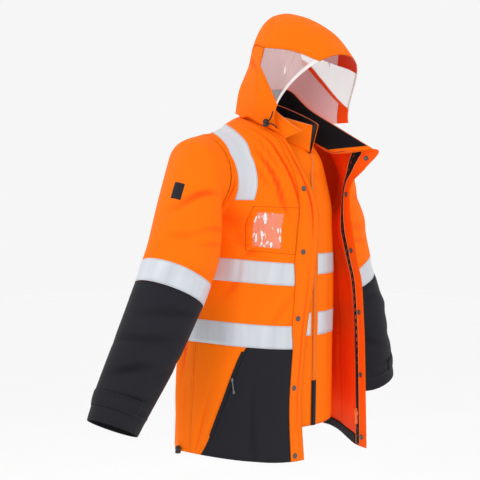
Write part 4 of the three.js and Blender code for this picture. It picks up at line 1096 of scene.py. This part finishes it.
class JACKET_OT_sleeves(bpy.types.Operator):
    """Makes the sleeves, their cuff tabs and the plain sleeve patch"""
    bl_idname = "jacket.sleeves"
    bl_label = "Sleeves"

    def execute(self, context):
        for word, skin in SLEEVES.items():
            sheet_piece(f"{word}_upper_sleeve_cloth", [(skin, 0, ROUND, -1, SLEEVE_BAND[1], "bt")],
                        ["orange_shell", "orange_inside"], node=f"{word}_upper_sleeve", join="none")
            sheet_piece(f"{word}_lower_sleeve_cloth", [(skin, 0, ROUND, SLEEVE_BAND[1], SLEEVE_END, "bt")],
                        ["navy_shell", "navy_inside"], node=f"{word}_lower_sleeve", slot="navy_cloth",
                        join="none")
            sheet_piece(f"{word}_cuff_tab_cloth", [(skin, 3, 8, *SLEEVE_TAB, "lrbt")], "navy_shell", lift=1.7,
                        thick=1.4, node=f"{word}_cuff_tab", slot="navy_cloth", cell=4,
                        rests=[f"{word}_lower_sleeve_cloth"])
        sheet_piece("sleeve_patch", [(SLEEVES["right"], 5.2, 5.82, 1.08, 1.38, "lrbt")], "label_patch",
                    lift=1.0, thick=0.6, node="sleeve_label", slot="label_patch", cell=3, pinch=0.2,
                    rests=["right_upper_sleeve_cloth"])
        return {"FINISHED"}


class JACKET_OT_hood(bpy.types.Operator):
    """Makes the hood's crown and sides and its clear windows"""
    bl_idname = "jacket.hood"
    bl_label = "Hood"

    def execute(self, context):
        looks = ["orange_shell", "hood_inside"]
        end = HOOD_END
        sheet_piece("hood_crown_cloth", [(HOOD_SKIN, 2, 4, 0, end, "lrb")], looks, node="hood_crown")
        sheet_piece("hood_right_side_cloth", [(HOOD_SKIN, 0, 1, 0, end, "r")], looks, node="hood_right_side")
        sheet_piece("hood_left_side_cloth", [(HOOD_SKIN, 5, 6, 0, end, "l")], looks, node="hood_left_side")
        for word, side, first in (("right", -1, 1), ("left", 1, 4)):
            sheet_piece(f"hood_{word}_film", [(HOOD_SKIN, first, first + 1, 0, WINDOW_END[side], "")],
                        "hood_film", thick=0.4, node=f"hood_{word}_window", slot="clear_film", pinch=0)
        for word, first, high in (("right", 1, 0.2), ("left", 4, 0.16)):
            sheet_piece(f"hood_{word}_film_edge", [(HOOD_SKIN, first, first + 1, 0, high, "")], "film_edge",
                        lift=0.7, thick=0.6, slot="clear_film", pinch=0, cell=4, rests=[f"hood_{word}_film"])
        facing_style = {"lift": -1.3, "thick": 0.7, "pinch": 0, "cell": 4}
        # the peak's facing carries the orange in painted shade
        sheet_piece("hood_peak_facing", [(HOOD_SKIN, 2, 4, 0.02, 1.1, "")], "deep_orange",
                    rests=["hood_crown_cloth"], **facing_style)
        sheet_piece("hood_side_facing", [(HOOD_SKIN, 5.02, 6, 0.02, 0.7, "")], "orange_inside",
                    rests=["hood_left_side_cloth"], **facing_style)
        sheet_piece("hood_window_facing", [(HOOD_SKIN, 5.02, 5.12, 0.7, 3, "")], "orange_inside",
                    rests=["hood_left_side_cloth"], **facing_style)
        return {"FINISHED"}


class JACKET_OT_collars(bpy.types.Operator):
    """Makes both stand collars with their linings and piping"""
    bl_idname = "jacket.collars"
    bl_label = "Collars"

    def execute(self, context):
        for word, skin, short in (("", COLLAR_SKIN, 0.16), ("vest_", VEST_COLLAR_SKIN, 0.08)):
            last = skin.limits[0][1]
            sheet_piece(f"{word}collar_cloth", [(skin, 0, last, 0, 1, "t")], "orange_shell", lift=0.7,
                        thick=1.1, node=f"{word}collar", cell=4)
            sheet_piece(f"{word}collar_fleece", [(skin, 0.08, last - short, 0.02, 0.97, "t")], "fleece",
                        lift=-0.8, thick=1.6, node=f"{word}collar_lining", slot="navy_fleece", cell=4,
                        rests=[f"{word}collar_cloth"])
            place = np.linspace(0.02, last - 0.02, 160)
            path = skin(place, np.full(place.shape, 0.985), np.full(place.shape, -0.1))
            tube(f"{word}collar_piping", path, 1.1, "piping", sides=8)
        return {"FINISHED"}


class JACKET_OT_vest(bpy.types.Operator):
    """Makes the vest's fronts, back, tapes and zip"""
    bl_idname = "jacket.vest"
    bl_label = "Vest"

    def execute(self, context):
        looks = ["orange_shell", "fleece"]
        tape = context.scene.jacket.tape_thick * 1000
        for side, skin in (("right", VEST_RIGHT), ("left", VEST_LEFT)):
            sheet_piece(f"vest_{side}_front_cloth", [(skin, 0, 1, 0, 10, "lrbt")], looks,
                        node=f"vest_{side}_front")
        patches = [(skin, 0, 1, 0, 10, "lbt") for skin in (VEST_REAR_RIGHT, VEST_REAR_LEFT)]
        sheet_piece("vest_back_cloth", patches, looks, node="vest_back")
        for word, (low, high) in (("lower", (1, 2)), ("upper", (3, 4))):
            for side, skin in (("right", VEST_RIGHT), ("left", VEST_LEFT)):
                sheet_piece(f"vest_{side}_{word}_tape", [(skin, 0, 0.97, low, high, "bt")], "reflective",
                            lift=1.0, thick=tape, node=f"vest_{side}_{word}_band", slot="reflective_tape",
                            held="laid", rests=[f"vest_{side}_front_cloth"], pinch=0.1)
        rows = np.linspace(0, 8, 220)
        middle = (VEST_RIGHT(1, rows) + VEST_LEFT(1, rows)) / 2
        share = np.linspace(0, 1, 5)
        run = step_lengths(middle[None], 1)[0]
        for name, look, wide, out, high, nodes in (
                ("vest_zip_tape_cloth", "orange_tape", 8, 0.6, run[-1], ["vest_zip"]),
                ("vest_zip_lower_cloth", "zip_tape", 15, 2.4, VEST_ZIP_DARK, [])):
            up = run[run <= high][:, None]
            strip = middle[run <= high][:, None] + point((share - 0.5) * wide, 0, 0) + np.array([0, -out, 0])
            quads = grid_quads(np.arange(strip[..., 0].size).reshape(-1, len(share)))
            uv = point(share * wide, up, 0)[..., :2]
            obj = new_object(name, strip.reshape(-1, 3), quads.tolist(), uv.reshape(-1, 2))
            obj.data.materials.append(LOOKS[look])
            thicken(obj, 0.8)
            declare(obj, nodes)
        dark = VEST_ZIP_DARK / run[-1]
        for name, look, out, start, end in (("vest_zip_teeth", "orange_teeth", 1.6, dark, 1.0),
                                            ("vest_zip_lower_teeth", "zip_teeth", 3.2, 0.0, dark)):
            zip_teeth(name, middle + np.array([0, -out, 0]), (1, 0, 0), (0, -1, 0), look, start, end)
        return {"FINISHED"}


def zip_teeth(name, path, across, out, look, start=0.0, end=1.0):
    """A row of moulded teeth: one small rounded block every pitch along the path, set left and right in turn.
    Across and out are directions, one for all or one for each point of the path."""
    run = step_lengths(path[None], 1)[0]
    places = np.arange(run[-1] * start + TOOTH_PITCH, run[-1] * end - TOOTH_PITCH, TOOTH_PITCH)

    def at(values, places):
        values = np.broadcast_to(np.asarray(values, float), path.shape)
        return np.stack([np.interp(places, run, values[:, k]) for k in range(3)], axis=-1)

    middles = at(path, places)
    across = at(across, places)[:, None]
    out = at(out, places)[:, None]
    ahead = (at(path, places + 1) - middles)[:, None]
    ahead /= np.linalg.norm(ahead, axis=-1, keepdims=True)
    shift = np.where(np.arange(len(places)) % 2 == 0, TOOTH_SHIFT, -TOOTH_SHIFT)[:, None, None]
    corners = np.array([(x, y, z) for z in (-1, 1) for y in (-1, 1) for x in (-1, 1)], dtype=float)
    corners[:, :2] *= np.where(corners[:, 2:] > 0, 0.7, 1.0)
    x, y, z = (corners[:, k:k + 1] * TOOTH_HALF[k] for k in range(3))
    blocks = middles[:, None] + across * x + across * shift + ahead * y + out * z
    box = np.array([(0, 2, 3, 1), (4, 5, 7, 6), (0, 1, 5, 4), (2, 6, 7, 3), (0, 4, 6, 2), (1, 3, 7, 5)])
    faces = (box[None] + len(corners) * np.arange(len(places))[:, None, None]).reshape(-1, 4)
    declare(solid(name, blocks.reshape(-1, 3), faces.tolist(), look))


class JACKET_OT_tapes(bpy.types.Operator):
    """Makes the reflective tapes round the body, the sleeves and over the shoulders"""
    bl_idname = "jacket.tapes"
    bl_label = "Reflective tapes"

    def execute(self, context):
        tape = context.scene.jacket.tape_thick * 1000
        laid = {"lift": 1.0, "thick": tape, "slot": "reflective_tape", "held": "laid", "pinch": 0.15}
        for word, (low, high) in (("upper", UPPER_BAND), ("lower", LOWER_BAND)):
            patches = [(skin, 0, last, low, high, "bt")
                       for skin, last in ((RIGHT, 4), (REAR_RIGHT, 3), (REAR_LEFT, 3), (LEFT, 3))]
            sheet_piece(f"{word}_tape", patches, "reflective", node=f"{word}_band",
                        rests=["right_front_cloth", "back_cloth", "left_front_cloth"], **laid)
        for word, front, back in (("right", RIGHT, REAR_RIGHT), ("left", LEFT, REAR_LEFT)):
            patches = [(front, 1, 2, 8.3, SHOULDER, "lr"), (back, 1, 2, UPPER_BAND[1], SHOULDER, "lr")]
            sheet_piece(f"{word}_brace_tape", patches, "reflective", node=f"{word}_brace",
                        rests=[f"{word}_front_cloth", "back_cloth"], join="along", **laid)
        for word, skin in SLEEVES.items():
            sheet_piece(f"{word}_sleeve_tape", [(skin, 0, ROUND, *SLEEVE_BAND, "bt")], "reflective",
                        node=f"{word}_sleeve_band", rests=[f"{word}_upper_sleeve_cloth"], join="none", **laid)
        return {"FINISHED"}


class JACKET_OT_pockets(bpy.types.Operator):
    """Makes the chest pocket with its window and the slanted pocket's welt and pull"""
    bl_idname = "jacket.pockets"
    bl_label = "Pockets"

    def execute(self, context):
        sheet_piece("id_pocket_cloth", [(RIGHT, 2.03, 3.97, 5.5, 8, "lrbt")], "orange_shell", lift=1.3,
                    thick=0.8, node="id_pocket", cell=4, rests=["right_front_cloth"])
        sheet_piece("id_pocket_film", [(RIGHT, 2.22, 2.94, 5.78, 7.7, "")], "pocket_film", lift=2.1,
                    thick=0.4, node="id_window", slot="clear_film", cell=3, pinch=0,
                    rests=["id_pocket_cloth"])
        sheet_piece("pocket_welt", [(RIGHT, 0.96, 1.12, 0.5, 1.9, "lrbt")], "navy_shell", lift=1.2,
                    thick=1.0, slot="navy_cloth", cell=3, pinch=0.2, rests=["right_pocket_cloth"])
        place, normal = spot(RIGHT, 1.04, POCKET_PULL_Z, 2.4)
        axes = frame_at(place, normal, down=(0.25, 0, -1))
        shapes = [placed(rounded_block(6, 8, 2.2), axes),
                  placed(rounded_block(3.2, 24, 1.2), axes, (0, 14, 0.6)),
                  placed(rounded_block(5.4, 8, 2.6), axes, (0, 28, 0.2))]
        hard_piece("pocket_pull_tab", shapes, "steel_pull", "pocket_puller")
        return {"FINISHED"}


class JACKET_OT_fasteners(bpy.types.Operator):
    """Makes the press studs, their sockets and the left front's zip"""
    bl_idname = "jacket.fasteners"
    bl_label = "Studs and zips"

    def execute(self, context):
        cap = turned([(5.2, 0), (6.1, 0.5), (6.2, 1.3), (5.6, 2.0), (4.6, 2.2), (4.2, 1.8), (2.4, 1.7),
                      (1.8, 2.1), (0.6, 2.3)])
        ring = turned([(5.2, 0), (6.1, 0.5), (6.1, 1.4), (5.4, 2.1), (4.0, 2.1), (3.6, 1.2), (3.4, 0.6),
                       (1.0, 0.5)])
        for k, z in enumerate(STUD_Z):
            axes = frame_at(*spot(RIGHT, STUD_LINE, z, 2.8))
            hard_piece(f"stud_{k + 1}_cap", [placed(cap, axes)], "stud_metal", f"stud_{k + 1}")
        sockets = {f"socket_{k + 1}": z for k, z in enumerate(SOCKET_Z)}
        for name, z in (sockets | {"corner_socket": CORNER_Z}).items():
            place, normal = spot(LEFT, SOCKET_LINE, z, -0.9)
            axes = frame_at(place, -normal)
            hard_piece(f"{name}_ring", [placed(ring, axes)], "socket_metal", name)
        rows = np.linspace(0.05, 12.3, 500)
        path = LEFT(LEFT_ZIP_MIDDLE, rows, -2.0)
        side = LEFT(LEFT_ZIP_MIDDLE + 0.3, rows) - LEFT(LEFT_ZIP_MIDDLE - 0.3, rows)
        out = path - LEFT(LEFT_ZIP_MIDDLE, rows)
        side, out = (way / np.linalg.norm(way, axis=1, keepdims=True) for way in (side, out))
        zip_teeth("left_zip_teeth", path, side, out, "zip_teeth")
        for word, line in (("inner", LEFT_ZIP_LINE), ("outer", LEFT_ZIP_EDGE)):
            tube(f"left_zip_{word}_piping", LEFT(line, rows, -1.9), 0.9, "piping", sides=6)
        place, normal = spot(LEFT, LEFT_ZIP_MIDDLE, SLIDER_Z, -3.0)
        axes = frame_at(place, -normal)
        shapes = [placed(rounded_block(11, 15, 3.6), axes, (0, 7.5, 0)),
                  placed(rounded_block(4, 9, 2.4), axes, (0, 6, 3.2))]
        hard_piece("left_slider_body", shapes, "orange_enamel", "left_slider")
        axes = frame_at(place, np.array([-0.95, -0.6, 0.0]), down=(0.06, 0.0, -1.0))
        shapes = [placed(rounded_block(7, 26, 2.0), axes, (1, 27, 3.6)),
                  placed(rounded_block(9, 11, 3.6), axes, (0, 13, 3.0))]
        hard_piece("left_slider_pull", shapes, "orange_enamel", "left_puller")
        return {"FINISHED"}


class JACKET_OT_stage(bpy.types.Operator):
    """Makes the pale floor, the soft lights and the plain surround"""
    bl_idname = "jacket.stage"
    bl_label = "Stage"

    def execute(self, context):
        settings = context.scene.jacket
        size = 12000
        drop = settings.floor_drop / MM
        corners = [(x * size, y * size, drop) for x, y in ((-1, -1), (1, -1), (1, 1), (-1, 1))]
        floor = new_object("floor", corners, [(0, 1, 2, 3)])
        paint = Look("floor_paint", (0.92, 0.92, 0.92), 0.9, glow=0.08)
        paint.paint(paint.mixed(paint.noise(paint.place(), 3.0, 2.0), (0.91, 0.91, 0.91), (0.94, 0.94, 0.94)))
        floor.data.materials.append(LOOKS["floor_paint"])
        world = bpy.data.worlds.new("surround")
        world.use_nodes = True
        back = world.node_tree.nodes["Background"]
        back.inputs["Color"].default_value = (1, 1, 1, 1)
        back.inputs["Strength"].default_value = 0.92
        context.scene.world = world
        heading = math.radians(CAMERA_HEADING)
        ahead = np.array([math.sin(heading), math.cos(heading), 0])
        aside = np.array([math.cos(heading), -math.sin(heading), 0])
        for name, place, power, wide in (
            ("key", -2.0 * ahead - 1.7 * aside + np.array([0, 0, 1.3]), settings.light, 1.6),
            ("fill", -2.2 * ahead + 1.6 * aside + np.array([0, 0, 0.4]), settings.light * 0.35, 2.0),
            ("back", 1.6 * ahead - 1.2 * aside + np.array([0, 0, 1.4]), settings.light * 0.4, 1.4),
        ):
            data = bpy.data.lights.new(name, "AREA")
            data.energy = power
            data.size = wide
            lamp = bpy.data.objects.new(name, data)
            lamp.location = place
            aim = np.array([0, 0, -0.35]) - place
            across = math.hypot(aim[0], aim[1])
            lamp.rotation_euler = (math.pi / 2 + math.atan2(aim[2], across), 0,
                                   math.atan2(aim[1], aim[0]) - math.pi / 2)
            context.collection.objects.link(lamp)
        context.scene.view_settings.view_transform = "Standard"
        return {"FINISHED"}


class JACKET_PT_panel(bpy.types.Panel):
    """Lists the jacket's steps and settings"""
    bl_label = "Hi-vis work jacket"
    bl_idname = "JACKET_PT_panel"
    bl_space_type = "VIEW_3D"
    bl_region_type = "UI"
    bl_category = "Jacket"

    def draw(self, context):
        for key in JacketSettings.__annotations__:
            self.layout.prop(context.scene.jacket, key)
        for step in STEPS:
            self.layout.operator(step.bl_idname)


STEPS = (
    JACKET_OT_camera, JACKET_OT_cords, JACKET_OT_body, JACKET_OT_sleeves, JACKET_OT_hood, JACKET_OT_collars,
    JACKET_OT_vest, JACKET_OT_tapes, JACKET_OT_pockets, JACKET_OT_fasteners, JACKET_OT_stage,
)
CLASSES = (JacketSettings, *STEPS, JACKET_PT_panel)


def register():
    """Adds the steps, the settings and the panel."""
    for one in CLASSES:
        bpy.utils.register_class(one)
    bpy.types.Scene.jacket = bpy.props.PointerProperty(type=JacketSettings)


def unregister():
    """Takes them away again."""
    del bpy.types.Scene.jacket
    for one in reversed(CLASSES):
        bpy.utils.unregister_class(one)


def main():
    """Runs every step."""
    register()
    for step in STEPS:
        group, name = step.bl_idname.split(".")
        result = getattr(getattr(bpy.ops, group), name)()
        if result != {"FINISHED"}:
            raise RuntimeError(f"{step.bl_label} didn't finish")


if __name__ == "__main__":
    main()
